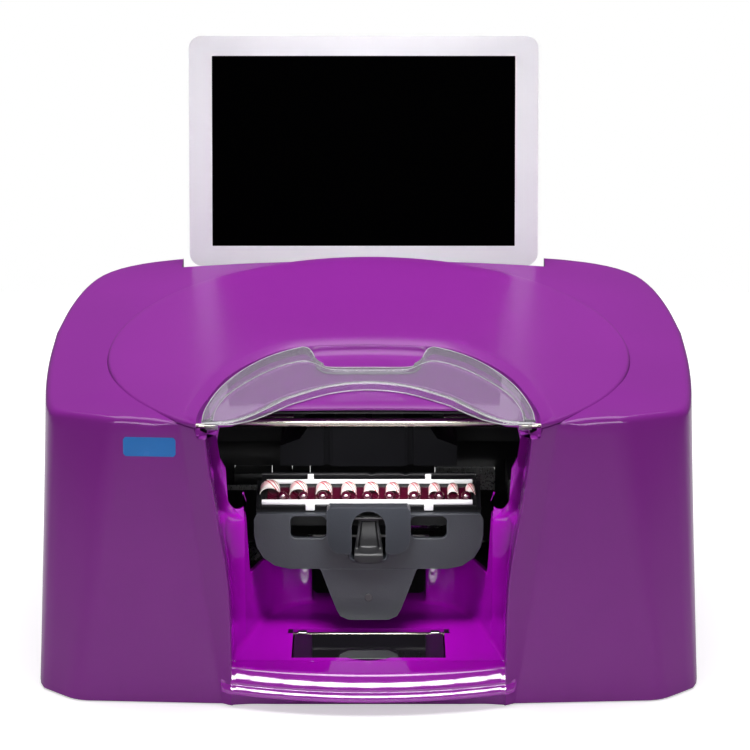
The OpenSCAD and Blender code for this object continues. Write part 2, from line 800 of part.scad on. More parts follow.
module screen_back() {
    color([0.88, 0.88, 0.9]) seat() difference() {
        union() {
            screen_slab(bezel_w - 1, bezel_h - 1, 8.5, -back_t, -gap);
            screen_at() {
                x_rod(4, -26.7, 26.7, 0, 0);
                box(-26.7, 26.7, -back_t, 0, -4, 4);
                translate([0, 0, 4]) box(-40, 40, -gap - 0.1, 3, 12, 70);
            }
        }
        screen_at() {
            x_rod(hinge_pin_r + run_gap, -60, 60, 0, 0);
            both() box(26.7, 37.5, -4.5, 5, -10, 4.6);
        }
    }
}

// ---- platform ----

plate_half = [[plate_w / 2 - 23, plate_low], [plate_w / 2 - 13.5, plate_low + 2.2],
    [plate_w / 2 - 6, plate_low + 7.5], [plate_w / 2 - 1.6, plate_low + 15], [plate_w / 2, plate_low + 23],
    [plate_w / 2, plate_top - 4], [plate_w / 2 - 2, plate_top]];

module front_plate() {
    color([0.2, 0.21, 0.22]) seat() difference() {
        union() {
            from_front(plate_y, back_y) difference() {
                polygon(concat(plate_half, mirrored(plate_half)));
                for (i = [-1, 1]) translate([i * 39, 96.4]) slab(23.6, 15, 4);
                translate([0, 96]) square([22, 40], center = true);
            }
            both() {
                y_rod(feed_rod_r + 4, back_y, boss_end, feed_x, feed_z);
            }
        }
        both() y_rod(feed_rod_r + 0.02, back_y, boss_end + 2, feed_x, feed_z);
    }
}

tongue_half = [[13, tongue_low], [18.5, tongue_low + 2.5], [21.2, tongue_low + 7.5], [25.6, plate_low - 16],
    [31, plate_low - 1], [32, plate_low]];

module tongue() {
    color([0.18, 0.19, 0.2]) seat() difference() {
        union() {
            from_front(plate_y, back_y) polygon(concat(tongue_half, mirrored(tongue_half)));
            box(-28, 28, back_y, back_y + 3, plate_low - 12, plate_low + 6);
        }
        y_rod(1.6, plate_y - 1, back_y + 4, 0, 48.5);
    }
}

module tongue_rivet() {
    color([0.25, 0.26, 0.27]) seat() {
        y_rod(2.6, plate_y - 0.8, plate_y, 0, 48.5);
        y_rod(1.6, plate_y, back_y, 0, 48.5);
    }
}

grip_y = 60;
grip_half = [[11, 84], [12, 81.5], [19, 81.5], [23.8, 84], [26.2, 88.5], [27, 95], [27, 110.5], [25, 112.8]];
lever_z = 104;
lever_y = 66;

module grip_block() {
    color([0.19, 0.2, 0.21]) seat() difference() {
        union() {
            from_front(grip_y, plate_y) difference() {
                polygon(concat(grip_half, mirrored(grip_half)));
                translate([0, 90]) square([22, 20], center = true);
                translate([0, 99.5]) circle(r = 11);
            }
        }
        x_rod(1.2, -20, 20, lever_y, lever_z);
    }
}

module lever_pin() {
    color([0.7, 0.7, 0.7]) seat() x_rod(1.2, -18, 18, lever_y, lever_z);
}

module release_lever() {
    color([0.04, 0.04, 0.045]) seat() difference() {
        union() {
            x_rod(3.6, -7, 7, lever_y, lever_z);
            box(-9.5, 9.5, lever_y - 2.6, lever_y + 1, 84, lever_z);
            from_front(lever_y - 2.6, lever_y + 1) {
                translate([-9.5, 79]) square([19, 6]);
            }
            box(-9.5, 9.5, grip_y - 2.5, lever_y + 1, 75.5, 79.5);
        }
        x_rod(1.2 + run_gap, -20, 20, lever_y, lever_z);
    }
}

module bed_at() { translate([0, bed_y, bed_z]) rotate([bed_tilt, 0, 0]) children(); }

module bed_tray() {
    color([0.06, 0.06, 0.065]) seat() difference() {
        union() {
            difference() {
                box(-plate_w / 2 + 1.5, plate_w / 2 - 1.5, back_y, 104, rack_z + 4, bed_z + 12);
                bed_at() box(-100, 100, -20, 60, -5, 60);
            }
            bed_at() {
                box(-plate_w / 2 + 1.5, -70.6, -2, 27, -6, -2.5);
                box(70.6, plate_w / 2 - 1.5, -2, 27, -6, -2.5);
            }
        }
        for (i = [-1, 1]) box(i * 39 - 11.6, i * 39 + 11.6, back_y - 1, back_y + 14, rack_z, 104);
        box(-11.5, 11.5, back_y - 1, back_y + 14, 84, 105);
    }
}

module platform_rods() {
    color([0.78, 0.78, 0.78]) seat() both() y_rod(feed_rod_r, back_y, feed_rod_end, feed_x, feed_z);
}

module feed_strip() {
    color([0.5, 0.5, 0.5]) seat() box(-5, 5, back_y + 14, feed_rod_end, rack_z, rack_z + 4);
}

nail_x = [-64.4, -45.8, -29.2, -13, 1.7, 15.7, 29.7, 43, 55, 66.4];
nail_w = [13.6, 12.1, 11, 10.3, 10.1, 9.4, 8.5, 8.1, 7.4, 6.7];

module cassette() {
    color([0.1, 0.1, 0.11]) seat() bed_at() difference() {
        box(-70.3, 70.3, -1.5, 26.5, -5, -1.5);
        box(-67, 67, 5, 19, -3, 2);
    }
}

module front_rail() {
    color([0.92, 0.92, 0.92]) seat() bed_at() {
        box(-69.5, 67.5, -0.5, 2.6, -1.5, 0.6);
        for (x = [-38, 39]) {
            box(x - 3, x + 3, -3, -0.5, -1.5, 0.6);
            box(x - 3, x + 3, -3, -1.5, -4.5, -1.5);
        }
    }
}

module rear_rail() {
    color([0.92, 0.92, 0.92]) seat() bed_at() {
        box(-67, 68, 22, 24.6, -1.5, 0.6);
        for (x = [-38, 39]) box(x - 2, x + 2, 24.6, 26.5, -1.5, 3.5);
    }
}

module nail_rests() {
    color([0.2, 0.02, 0.06]) seat() bed_at() {
        difference() {
            for (x = [-56, -42.6, -30, -14.8, -1, 13.6, 29.5, 46, 63.5]) translate([x, 6.2, 0.4])
                sphere(r = 3.4);
            box(-80, 80, -5, 30, -10, -1.5);
        }
        box(-66, 66, 5.5, 18.5, -3, -1.5);
    }
}

module nail_tips() {
    color([0.92, 0.78, 0.76]) seat() bed_at() for (i = [0:9]) difference() {
        translate([nail_x[i], 21.4, -0.9]) rotate([90, 0, 0]) cylinder(r = nail_w[i] / 2, h = 11.2);
        translate([nail_x[i], 23, -0.9]) rotate([90, 0, 0]) cylinder(r = nail_w[i] / 2 - 0.7, h = 20);
        box(nail_x[i] - 10, nail_x[i] + 10, 0, 30, -10, -0.9);
    }
}

// ---- carriage ----

module carriage() {
    yb = carriage_y + carriage_l;
    w = carriage_w / 2;
    color([0.13, 0.13, 0.14]) seat() difference() {
        union() {
            from_front(carriage_y, yb) polygon([[-w, carriage_low], [w, carriage_low], [w, carriage_mid],
                [w - 13, carriage_mid + 5], [40, carriage_top], [-40, carriage_top],
                [-w + 13, carriage_mid + 5], [-w, carriage_mid]]);
            box(-23.5, 23.5, carriage_y - 1.5, carriage_y, carriage_low, carriage_top + 1);
            both() x_rod(rod_r + 4, 10, w - 8, rod_y, rod_z + 2);
        }
        both() box(25.5, 29.5, carriage_y - 3, carriage_y + 4, carriage_low - 1, carriage_top + 5);
        both() box(2, 23, carriage_y + 6, rod_y - rod_r - 4, carriage_low + 2, 200);
        both() box(4, 21, carriage_y + 12, rod_y - rod_r - 10, carriage_low - 5, 200);
        x_rod(rod_r + run_gap, -100, 100, rod_y, rod_z);
    }
}

module cartridges() {
    color([0.15, 0.15, 0.17]) seat() both() {
        box(2 + gap, 23 - gap, carriage_y + 6 + gap, rod_y - rod_r - 4 - gap, carriage_low + 2, carriage_top - 1);
        box(6, 19, carriage_y + 14, carriage_y + 24, carriage_low - 0.3, carriage_low + 2);
    }
}

module belt_clamp() {
    yb = carriage_y + carriage_l;
    color([0.14, 0.14, 0.15]) seat() difference() {
        box(-10, 10, yb, belt_y - pulley_r + 2.5, belt_z - 6, belt_z + 6);
        box(-12, 12, belt_y - pulley_r - 1.2 - gap, belt_y + 5, belt_z - 3 - gap, belt_z + 3 + gap);
    }
}

housing();
top_disc();
bay_liner();
sill();
lid_well();
base_plate();
feet();
base_screws();
rear_panel();
power_inlet();
switch_frame();
rocker();
port_block();
side_plates();
feed_deck();
rear_beam();
front_bar();
rail_strip();
carriage_rod();
encoder_strip();
drive_belt();
carriage_motor();
drive_pulley();
idler_pulley();
idler_post();
service_station();
main_board();
power_supply();
guide_blocks();
feed_motor();
feed_roller();
lid_rod();
floor_lid();
visor_pins();
visor();
screen_bracket();
screen_pin();
screen_frame();
screen_glass();
screen_back();
front_plate();
tongue();
tongue_rivet();
grip_block();
release_lever();
lever_pin();
bed_tray();
platform_rods();
feed_strip();
cassette();
front_rail();
rear_rail();
nail_rests();
nail_tips();
carriage();
cartridges();
belt_clamp();
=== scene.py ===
import math

import bmesh
import bpy
from mathutils import Matrix, Vector


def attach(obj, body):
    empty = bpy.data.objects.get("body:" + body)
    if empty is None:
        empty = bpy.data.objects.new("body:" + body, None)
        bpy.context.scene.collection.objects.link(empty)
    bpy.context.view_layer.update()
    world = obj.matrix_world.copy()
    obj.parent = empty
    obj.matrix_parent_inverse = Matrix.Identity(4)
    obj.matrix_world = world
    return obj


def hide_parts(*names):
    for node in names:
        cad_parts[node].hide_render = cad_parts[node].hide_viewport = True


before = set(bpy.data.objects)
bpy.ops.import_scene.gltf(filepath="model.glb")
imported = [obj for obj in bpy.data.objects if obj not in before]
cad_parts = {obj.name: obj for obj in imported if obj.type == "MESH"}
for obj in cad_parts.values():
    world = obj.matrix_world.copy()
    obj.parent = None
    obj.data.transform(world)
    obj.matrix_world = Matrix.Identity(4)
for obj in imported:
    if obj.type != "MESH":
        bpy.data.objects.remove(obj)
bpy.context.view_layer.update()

mm = 0.001
seatY = -174.285565                 # the drawings measure y in mm from the foot of the front wall


def place(x, y, z):                 # drawing millimetres to scene metres
    return Vector((x * mm, (y + seatY) * mm, z * mm))


def mix(a, b, t):
    return a + (b - a) * t


def ease(t):
    t = max(0.0, min(1.0, t))
    return t * t * (3 - 2 * t)


def shares(count, first=1):
    return [k / count for k in range(first, count + 1)]


# line helpers, in drawing millimetres

def arcCorner(before, here, after, back, steps):
    # the corner at here as a soft arc that starts and ends at most back away from it
    a, b = before - here, after - here
    back = min(back, a.length * 0.48, b.length * 0.48)
    p, q = here + a.normalized() * back, here + b.normalized() * back
    return [p * (1 - t) ** 2 + here * 2 * t * (1 - t) + q * t ** 2 for t in shares(steps, 0)]


def quarterTurn(count):
    # sine and cosine at even steps of a quarter turn, without the start
    angles = [math.radians(90 * k / count) for k in range(1, count + 1)]
    return [(math.sin(a), math.cos(a)) for a in angles]


def evenly(points, count):
    # the same line with evenly spaced points
    points = [Vector(p) for p in points]
    lengths = [(b - a).length for a, b in zip(points, points[1:])]
    total, out, index, done = sum(lengths), [], 0, 0.0
    for i in range(count):
        want = total * i / (count - 1)
        while index < len(lengths) - 1 and done + lengths[index] < want:
            done += lengths[index]
            index += 1
        t = 0 if lengths[index] == 0 else (want - done) / lengths[index]
        out.append(points[index].lerp(points[index + 1], max(0.0, min(1.0, t))))
    return out


def softLine(points, count, rounds=3):
    # corners cut off, then even spacing; the ends stay
    points = [Vector(p) for p in points]
    for _ in range(rounds):
        cut = [points[0]]
        for a, b in zip(points, points[1:]):
            cut += [a.lerp(b, 0.25), a.lerp(b, 0.75)]
        points = cut + [points[-1]]
    return evenly(points, count)


def across(line, value, axis=0):
    # the other coordinate of a line where it crosses a value
    for a, b in zip(line, line[1:]):
        if min(a[axis], b[axis]) <= value <= max(a[axis], b[axis]) and a[axis] != b[axis]:
            return mix(a[1 - axis], b[1 - axis], (value - a[axis]) / (b[axis] - a[axis]))
    return line[0][1 - axis] if abs(value - line[0][axis]) < abs(value - line[-1][axis]) else line[-1][1 - axis]


# mesh helpers

def loft(bm, rows, closed=False):
    # the first row is drawn and then extruded along the others
    row = [bm.verts.new(p) for p in rows[0]]
    edges = [bm.edges.new(pair) for pair in zip(row, row[1:])]
    if closed:
        edges.append(bm.edges.new((row[-1], row[0])))
    for target in rows[1:]:
        grown = bmesh.ops.extrude_edge_only(bm, edges=edges)["geom"]
        fresh = {v for v in grown if isinstance(v, bmesh.types.BMVert)}
        row = [next(e.other_vert(v) for e in v.link_edges if e.other_vert(v) in fresh) for v in row]
        for v, p in zip(row, target):
            v.co = p
        pairs = list(zip(row, row[1:])) + ([(row[-1], row[0])] if closed else [])
        edges = [next(e for e in a.link_edges if e.other_vert(a) is b) for a, b in pairs]


def mirrorX(bm):
    bmesh.ops.mirror(bm, geom=bm.verts[:] + bm.edges[:] + bm.faces[:], axis="X", merge_dist=0.00003)


def shadeSoft(mesh, degrees):
    for face in mesh.polygons:
        face.use_smooth = True
    bm = bmesh.new()
    bm.from_mesh(mesh)
    for edge in bm.edges:
        edge.smooth = len(edge.link_faces) == 2 and edge.calc_face_angle(0) < math.radians(degrees)
    bm.to_mesh(mesh)
    bm.free()


mergeGap = 0.00001


def putPiece(bm, name, body, finish, replaced=(), smooth=38, keepNormals=False):
    bmesh.ops.remove_doubles(bm, verts=bm.verts, dist=mergeGap)
    if not keepNormals:
        bmesh.ops.recalc_face_normals(bm, faces=bm.faces)
    mesh = bpy.data.meshes.new(name)
    bm.to_mesh(mesh)
    bm.free()
    piece = bpy.data.objects.new(name, mesh)
    bpy.context.scene.collection.objects.link(piece)
    mesh.materials.append(finish)
    shadeSoft(mesh, smooth)
    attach(piece, body)
    if replaced:
        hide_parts(*replaced)
    return piece


def addBevel(piece, width, segments=3, degrees=32):
    rounding = piece.modifiers.new("rounding", "BEVEL")
    rounding.width = width * mm
    rounding.segments = segments
    rounding.limit_method = "ANGLE"
    rounding.angle_limit = math.radians(degrees)
    rounding.use_clamp_overlap = True
    return piece


def addWall(piece, width):
    # a wall of this width inside the drawn surface
    wall = piece.modifiers.new("thickness", "SOLIDIFY")
    wall.thickness = width * mm
    wall.offset = -1
    return piece


def pushBack(bm, depth):
    # flat faces grown along y into a plate
    for grown in bmesh.ops.extrude_face_region(bm, geom=bm.faces[:])["geom"]:
        if isinstance(grown, bmesh.types.BMVert):
            grown.co.y += depth * mm


def softCopy(node, body, finish, width=0.5, segments=3, degrees=32):
    # a CAD node with its sharp edges rounded over
    bm = bmesh.new()
    bm.from_mesh(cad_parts[node].data)
    bmesh.ops.remove_doubles(bm, verts=bm.verts, dist=mergeGap)
    bmesh.ops.dissolve_limit(bm, angle_limit=math.radians(1), verts=bm.verts, edges=bm.edges)
    piece = putPiece(bm, node + "_soft", body, finish, (node,))
    return addBevel(piece, width, segments, degrees)


# finishes

def nodeGroup(name, inputs, outputs):
    group = bpy.data.node_groups.new(name, "ShaderNodeTree")
    for label, kind, value in inputs:
        socket = group.interface.new_socket(label, in_out="INPUT", socket_type=kind)
        socket.default_value = value
    for label, kind in outputs:
        group.interface.new_socket(label, in_out="OUTPUT", socket_type=kind)
    return group, group.nodes.new("NodeGroupInput").outputs, group.nodes.new("NodeGroupOutput").inputs


def addNode(tree, kind, values=None, **settings):
    node = tree.nodes.new("ShaderNode" + kind)
    for key, value in settings.items():
        setattr(node, key, value)
    for key, value in (values or {}).items():
        node.inputs[key].default_value = value
    return node


def rangeNode(tree, source, low, high, toLow, toHigh):
    node = addNode(tree, "MapRange", {"From Min": low, "From Max": high, "To Min": toLow, "To Max": toHigh})
    tree.links.new(source, node.inputs["Value"])
    return node.outputs["Result"]


# fine unevenness of a moulded surface, with the odd speck and a little wipe haze
moulded, ins, outs = nodeGroup("mouldedSurface",
    [("Grain Size", "NodeSocketFloat", 0.0006), ("Grain Depth", "NodeSocketFloat", 0.1),
     ("Wave Size", "NodeSocketFloat", 0.02), ("Wave Depth", "NodeSocketFloat", 0.0),
     ("Rough Low", "NodeSocketFloat", 0.2), ("Rough High", "NodeSocketFloat", 0.3)],
    [("Normal", "NodeSocketVector"), ("Roughness", "NodeSocketFloat"), ("Patches", "NodeSocketFloat")])
where = addNode(moulded, "TexCoord").outputs["Object"]
link = moulded.links.new


def noiseBump(label, detail, distance):
    # noise whose size and depth are inputs of the group, as a bump
    scale = addNode(moulded, "Math", {0: 1.0}, operation="DIVIDE")
    noise = addNode(moulded, "TexNoise", {"Detail": detail})
    bump = addNode(moulded, "Bump", {"Distance": distance})
    link(ins[label + " Size"], scale.inputs[1])
    link(scale.outputs[0], noise.inputs["Scale"])
    link(where, noise.inputs["Vector"])
    link(ins[label + " Depth"], bump.inputs["Strength"])
    link(noise.outputs["Fac"], bump.inputs["Height"])
    return bump


waveBump = noiseBump("Wave", 0.0, 0.001)
grainBump = noiseBump("Grain", 2.0, 0.0001)
link(waveBump.outputs["Normal"], grainBump.inputs["Normal"])
link(grainBump.outputs["Normal"], outs["Normal"])
patches = addNode(moulded, "TexNoise", {"Scale": 14.0, "Detail": 3.0, "Roughness": 0.55})
link(where, patches.inputs["Vector"])
patchMask = rangeNode(moulded, patches.outputs["Fac"], 0.35, 0.65, 0.0, 1.0)
roughMix = addNode(moulded, "MapRange", {"From Min": 0.0, "From Max": 1.0})
for source, target in ((patchMask, roughMix.inputs["Value"]), (ins["Rough Low"], roughMix.inputs["To Min"]),
                       (ins["Rough High"], roughMix.inputs["To Max"]),
                       (roughMix.outputs["Result"], outs["Roughness"]), (patchMask, outs["Patches"])):
    link(source, target)

# mask of the outer corners, used to lighten them: a painted edge highlight, with a little wear
edges, ins, outs = nodeGroup("edgeMask",
    [("Width", "NodeSocketFloat", 0.0008), ("Amount", "NodeSocketFloat", 1.0)], [("Mask", "NodeSocketFloat")])
rounder = addNode(edges, "Bevel", samples=4)
flat = addNode(edges, "NewGeometry")
turned = addNode(edges, "VectorMath", operation="DOT_PRODUCT")
edgeMask = rangeNode(edges, turned.outputs["Value"], 0.995, 0.9, 0.0, 1.0)
scaled = addNode(edges, "Math", operation="MULTIPLY", use_clamp=True)
for source, target in ((ins["Width"], rounder.inputs["Radius"]), (rounder.outputs["Normal"], turned.inputs[0]),
                       (flat.outputs["Normal"], turned.inputs[1]), (edgeMask, scaled.inputs[0]),
                       (ins["Amount"], scaled.inputs[1]), (scaled.outputs[0], outs["Mask"])):
    edges.links.new(source, target)


def newFinish(name, base, **sockets):
    # a material whose shader takes every plain value on its own socket
    material = bpy.data.materials.new(name)
    material.use_nodes = True
    shader = material.node_tree.nodes["Principled BSDF"]
    shader.inputs["Base Color"].default_value = (*base, 1)
    for key, value in sockets.items():
        shader.inputs[key.replace("_", " ")].default_value = value
    return material, material.node_tree, shader


def useMoulded(tree, shader, grainSize, grainDepth, waveSize, waveDepth, roughLow, roughHigh, coat=False):
    group = addNode(tree, "Group", node_tree=moulded)
    for key, value in (("Grain Size", grainSize), ("Grain Depth", grainDepth), ("Wave Size", waveSize),
                       ("Wave Depth", waveDepth), ("Rough Low", roughLow), ("Rough High", roughHigh)):
        group.inputs[key].default_value = value
    tree.links.new(group.outputs["Normal"], shader.inputs["Normal"])
    tree.links.new(group.outputs["Roughness"], shader.inputs["Roughness"])
    if coat:
        tree.links.new(group.outputs["Normal"], shader.inputs["Coat Normal"])
    return group


def blendColours(tree, mask, first, second):
    # two colours, or a colour's socket and a colour, mixed by a mask
    node = addNode(tree, "Mix", data_type="RGBA")
    tree.links.new(mask, node.inputs[0])
    for socket, value in ((node.inputs[6], first), (node.inputs[7], second)):
        if isinstance(value, tuple):
            socket.default_value = (*value, 1)
        else:
            tree.links.new(value, socket)
    return node.outputs[2]


def tintPatches(tree, shader, group, colourA, colourB):
    colour = blendColours(tree, group.outputs["Patches"], colourA, colourB)
    tree.links.new(colour, shader.inputs["Base Color"])
    return colour


def glossPaint(name, colourA, colourB, coatRough=0.06, coat=1.0, coatIor=1.5):
    material, tree, shader = newFinish(name, colourA, Coat_Weight=coat, Coat_IOR=coatIor, Coat_Roughness=coatRough,
                                       Specular_IOR_Level=0.05, IOR=1.5)
    group = useMoulded(tree, shader, 0.0012, 0.02, 0.03, 0.012, 0.34, 0.4, coat=True)
    tintPatches(tree, shader, group, colourA, colourB)
    return material


purple = glossPaint("purplePaint", (0.245, 0.018, 0.292), (0.256, 0.019, 0.304), 0.17, 0.6)
discPurple = glossPaint("discPaint", (0.248, 0.020, 0.294), (0.258, 0.021, 0.306), 0.26, 0.6)
magenta = glossPaint("bayMagenta", (0.43, 0.0030, 0.51), (0.45, 0.0034, 0.53), 0.05)


def matteMoulding(name, colourA, colourB, rough, grainSize=0.0007, grainDepth=0.35, edgeWearAndSheen=0.0, shine=0.5):
    material, tree, shader = newFinish(name, colourA, Specular_IOR_Level=shine)
    group = useMoulded(tree, shader, grainSize, grainDepth, 0.03, 0.01, rough - 0.05, rough + 0.06)
    colour = tintPatches(tree, shader, group, colourA, colourB)
    # lighter corners: a painted highlight along the edges, with a little wear
    if edgeWearAndSheen:
        mask = addNode(tree, "Group", node_tree=edges)
        mask.inputs["Amount"].default_value = edgeWearAndSheen
        wornAndLitEdge = blendColours(tree, mask.outputs["Mask"], colour, tuple(min(1, 2.2 * c + 0.02) for c in colourB))
        tree.links.new(wornAndLitEdge, shader.inputs["Base Color"])
    return material


black = matteMoulding("blackMoulding", (0.0042, 0.0042, 0.0052), (0.0052, 0.0052, 0.0062), 0.36, edgeWearAndSheen=0.3,
                      shine=0.3)
grey = matteMoulding("greyMoulding", (0.019, 0.021, 0.026), (0.023, 0.026, 0.031), 0.42, 0.0008, 0.9, 0.8, 0.38)
# a darker copy of the grey moulding: painted shade on the grip block and the lever frame, which are of the same
# grey
shadedGripGrey = matteMoulding("shadedGripGrey", (0.015, 0.017, 0.021), (0.019, 0.021, 0.026), 0.38, 0.0008, 0.9, 0.8, 0.15)
carriageBlack = matteMoulding("carriageBlack", (0.0016, 0.0016, 0.0022), (0.0022, 0.0022, 0.003), 0.35, shine=0.05)
leverBlack = matteMoulding("leverBlack", (0.005, 0.005, 0.006), (0.007, 0.007, 0.008), 0.34, 0.0008, 0.1, 0.4, 0.3)
rubber = matteMoulding("footRubber", (0.012, 0.012, 0.012), (0.018, 0.018, 0.018), 0.75, 0.0005, 0.6)
railWhite = matteMoulding("cassetteWhite", (0.80, 0.80, 0.81), (0.84, 0.84, 0.85), 0.3, 0.0006, 0.1)
frameWhite = glossPaint("whiteFrame", (0.80, 0.80, 0.83), (0.82, 0.82, 0.85), 0.05)
wine = glossPaint("wineGloss", (0.040, 0.001, 0.009), (0.050, 0.002, 0.012), 0.02, 1.0, 1.9)


def metal(name, colour, rough, stretch=(1, 1, 1), depth=0.15):
    # metal with fine lines left by polishing
    material, tree, shader = newFinish(name, colour, Metallic=1.0)
    where = addNode(tree, "TexCoord").outputs["Object"]
    stretched = addNode(tree, "Mapping", {"Scale": stretch})
    tree.links.new(where, stretched.inputs["Vector"])
    lines = addNode(tree, "TexNoise", {"Scale": 900.0, "Detail": 3.0, "Roughness": 0.7})
    tree.links.new(stretched.outputs["Vector"], lines.inputs["Vector"])
    spread = rangeNode(tree, lines.outputs["Fac"], 0.3, 0.7, rough * 0.8, rough * 1.3)
    tree.links.new(spread, shader.inputs["Roughness"])
    bump = addNode(tree, "Bump", {"Strength": depth, "Distance": 0.0001})
    tree.links.new(lines.outputs["Fac"], bump.inputs["Height"])
    tree.links.new(bump.outputs["Normal"], shader.inputs["Normal"])
    return material


brightSteel = metal("brightSteel", (0.50, 0.47, 0.41), 0.2, (0.02, 1, 1), 0.06)
plainSteel = metal("plainSteel", (0.55, 0.55, 0.56), 0.28, (1, 0.05, 1), 0.2)
brass = metal("pulleyBrass", (0.72, 0.56, 0.30), 0.25, (1, 1, 0.05), 0.2)
blackSteel = matteMoulding("blackSteel", (0.006, 0.0057, 0.007), (0.008, 0.0077, 0.009), 0.34, 0.0005, 0.2)

clear, tree, shader = newFinish("clearVisor", (0.60, 0.60, 0.62), Transmission_Weight=0.87, IOR=1.46)
useMoulded(tree, shader, 0.0015, 0.01, 0.05, 0.004, 0.02, 0.04)
through = addNode(tree, "BsdfTransparent", {"Color": (0.86, 0.86, 0.88, 1)})
lightPath = addNode(tree, "LightPath")
passing = addNode(tree, "MixShader")
tree.links.new(lightPath.outputs["Is Shadow Ray"], passing.inputs[0])
tree.links.new(shader.outputs[0], passing.inputs[1])
tree.links.new(through.outputs[0], passing.inputs[2])
tree.links.new(passing.outputs[0], tree.nodes["Material Output"].inputs["Surface"])



def oneColour(name, base, surface, coat=False, **sockets):
    material, tree, shader = newFinish(name, base, **sockets)
    useMoulded(tree, shader, *surface, coat=coat)
    return material


smoked = oneColour("smokedLid", (0.012, 0.011, 0.014), (0.002, 0.005, 0.04, 0.004, 0.04, 0.07), coat=True,
                   Coat_Weight=1.0, Coat_Roughness=0.015, Specular_IOR_Level=0.9)
displayBlack = oneColour("displayBlack", (0.0004, 0.0004, 0.0005), (0.001, 0.01, 0.05, 0.0, 0.3, 0.34),
                         Specular_IOR_Level=0.0)
stripClear = oneColour("stripClear", (0.75, 0.75, 0.78), (0.001, 0.02, 0.05, 0.0, 0.15, 0.2), Alpha=0.35)
# whiter, part-opaque plastic for thin tubes along the visor's edges: painted highlight lines
visorGlintWhite = oneColour("visorPaintedGlint", (0.93, 0.93, 0.95), (0.0015, 0.01, 0.05, 0.004, 0.05, 0.08),
                      Transmission_Weight=0.35, IOR=1.46, Coat_Weight=1.0, Coat_Roughness=0.05)

board, tree, shader = newFinish("circuitGreen", (0.01, 0.06, 0.02), Specular_IOR_Level=0.5)
tracks = useMoulded(tree, shader, 0.0006, 0.1, 0.01, 0.05, 0.3, 0.4)
tintPatches(tree, shader, tracks, (0.010, 0.055, 0.018), (0.016, 0.085, 0.026))
print("finishes made")


# shapes shared by several pieces, right half, in drawing millimetres

# plan of the walls at the foot and at the brow, the opening's edge and the niche of the visor
footHalf = [(0, 0.8), (60, 0.8), (120, 3.3), (187, 8), (213.5, 34), (215, 100), (215.5, 170), (213.5, 230),
            (208.5, 290), (200, 316), (186, 331), (166, 339), (140, 342)]
browHalf = [(0, 12.6), (60, 12.6), (110, 14), (158, 17), (204, 44), (210, 95), (213, 150), (213, 205),
            (208.5, 264), (199.5, 307), (187.5, 328), (166, 339), (140, 342)]
bayHalf = [(86.5, 0), (86.5, 18), (86.7, 58), (87.7, 84), (91.7, 111), (98.5, 150), (102.5, 186), (102.5, 240)]
nicheHalf = [(107.5, 3.9), (107.5, 24), (105.6, 37), (102, 52), (97.6, 69.5), (93, 84), (86.3, 97.6), (79.2, 109),
             (70.5, 120), (61, 129.8), (53.6, 135.6), (46.2, 138.8), (31, 140.5), (16, 141.8), (0, 142.2)]
disc = dict(r=172.0, y=138.0)
visorRoom = dict(x=107.7, z=175.9)  # the rim is low up to here, for the ends of the visor
skin = dict(bottom=0.6, crease=5.0, brow=185.0)


rearY = 342                         # the rear wall
# height of a top over its front, its slope in degrees, and its drop towards the sides
deck = dict(z=192, front=15, slope=4.6, crown=9, half=186)
discTop = dict(z=187.5, front=10, slope=6.6, crown=5, half=172)


def topHeight(top, p):
    rise = math.tan(math.radians(top["slope"])) * (p.y - top["front"])
    return top["z"] + rise - top["crown"] * (p.x / top["half"]) ** 2


def deckZ(p):
    return topHeight(deck, p)


def discZ(p):
    return topHeight(discTop, p)


def onDisc(p, rise):
    return place(p.x, p.y, discZ(p) + rise)


frontPoints = 4                     # of the plan lie on the front wall


def planPoint(i, z):
    k = z / skin["brow"]
    return Vector((mix(footHalf[i][0], browHalf[i][0], k), mix(footHalf[i][1], browHalf[i][1], k)))


rimCone = dict(foot=1.5, tall=186, radius=164.5, grow=6.7)   # the raised rim beside the opening


def rimY(x, z):
    radius = rimCone["radius"] + rimCone["grow"] * (z - rimCone["foot"]) / rimCone["tall"]
    return disc["y"] - math.sqrt(radius ** 2 - x * x)


bayEdge = [(z, x) for x, z in bayHalf]
openingEdge = softLine(bayEdge, 60, 2)


def section(z):
    # one level of the outside, from the opening's edge round to the middle of the rear
    corner = [planPoint(i, z) for i in range(len(footHalf))]
    front = corner[:frontPoints]
    xe = across(openingEdge, z)
    low, high = 88.0, 150.0         # where the rim meets the front wall
    for _ in range(30):
        x = (low + high) / 2
        low, high = (x, high) if rimY(x, z) < across(front, x) else (low, x)
    meet = Vector((low, across(front, low)))
    edge = Vector((xe, rimY(xe, z)))
    span = meet.x - xe
    onRim = [Vector((x, rimY(x, z))) for x in [xe + span * (0.3 + 0.42 * i / 7) for i in range(8)]]
    points = [Vector((xe, 12.0)), Vector((xe, 8.0))]
    points += arcCorner(points[-1], edge, onRim[0], min(2.4, span * 0.28), 5)
    points += onRim
    wallStart = Vector((meet.x + 4, across(front, meet.x + 4)))
    points += arcCorner(onRim[-1], meet, wallStart, min(2.6, span * 0.2), 5)
    cornerA = arcCorner(meet, corner[3], corner[4], 9, 7)
    points += evenly([points[-1], cornerA[0]], 11)[1:-1] + cornerA
    sides = softLine([corner[4] + (corner[3] - corner[4]).normalized() * 14] + corner[4:8], 26, 3)
    points += evenly([cornerA[-1], sides[0]], 5)[1:-1] + sides
    points += softLine([sides[-1]] + corner[8:], 22, 3)[1:]
    points += evenly([(140, rearY), (120, rearY)], 3)[1:] + evenly([(120, rearY), (0, rearY)], 9)[1:]
    return points


levels = [section(z) for z in range(0, 232)]
columns = len(levels[0])


def skinPoint(i, z):
    k = max(0, min(len(levels) - 2, int(z)))
    return levels[k][i].lerp(levels[k + 1][i], z - k)


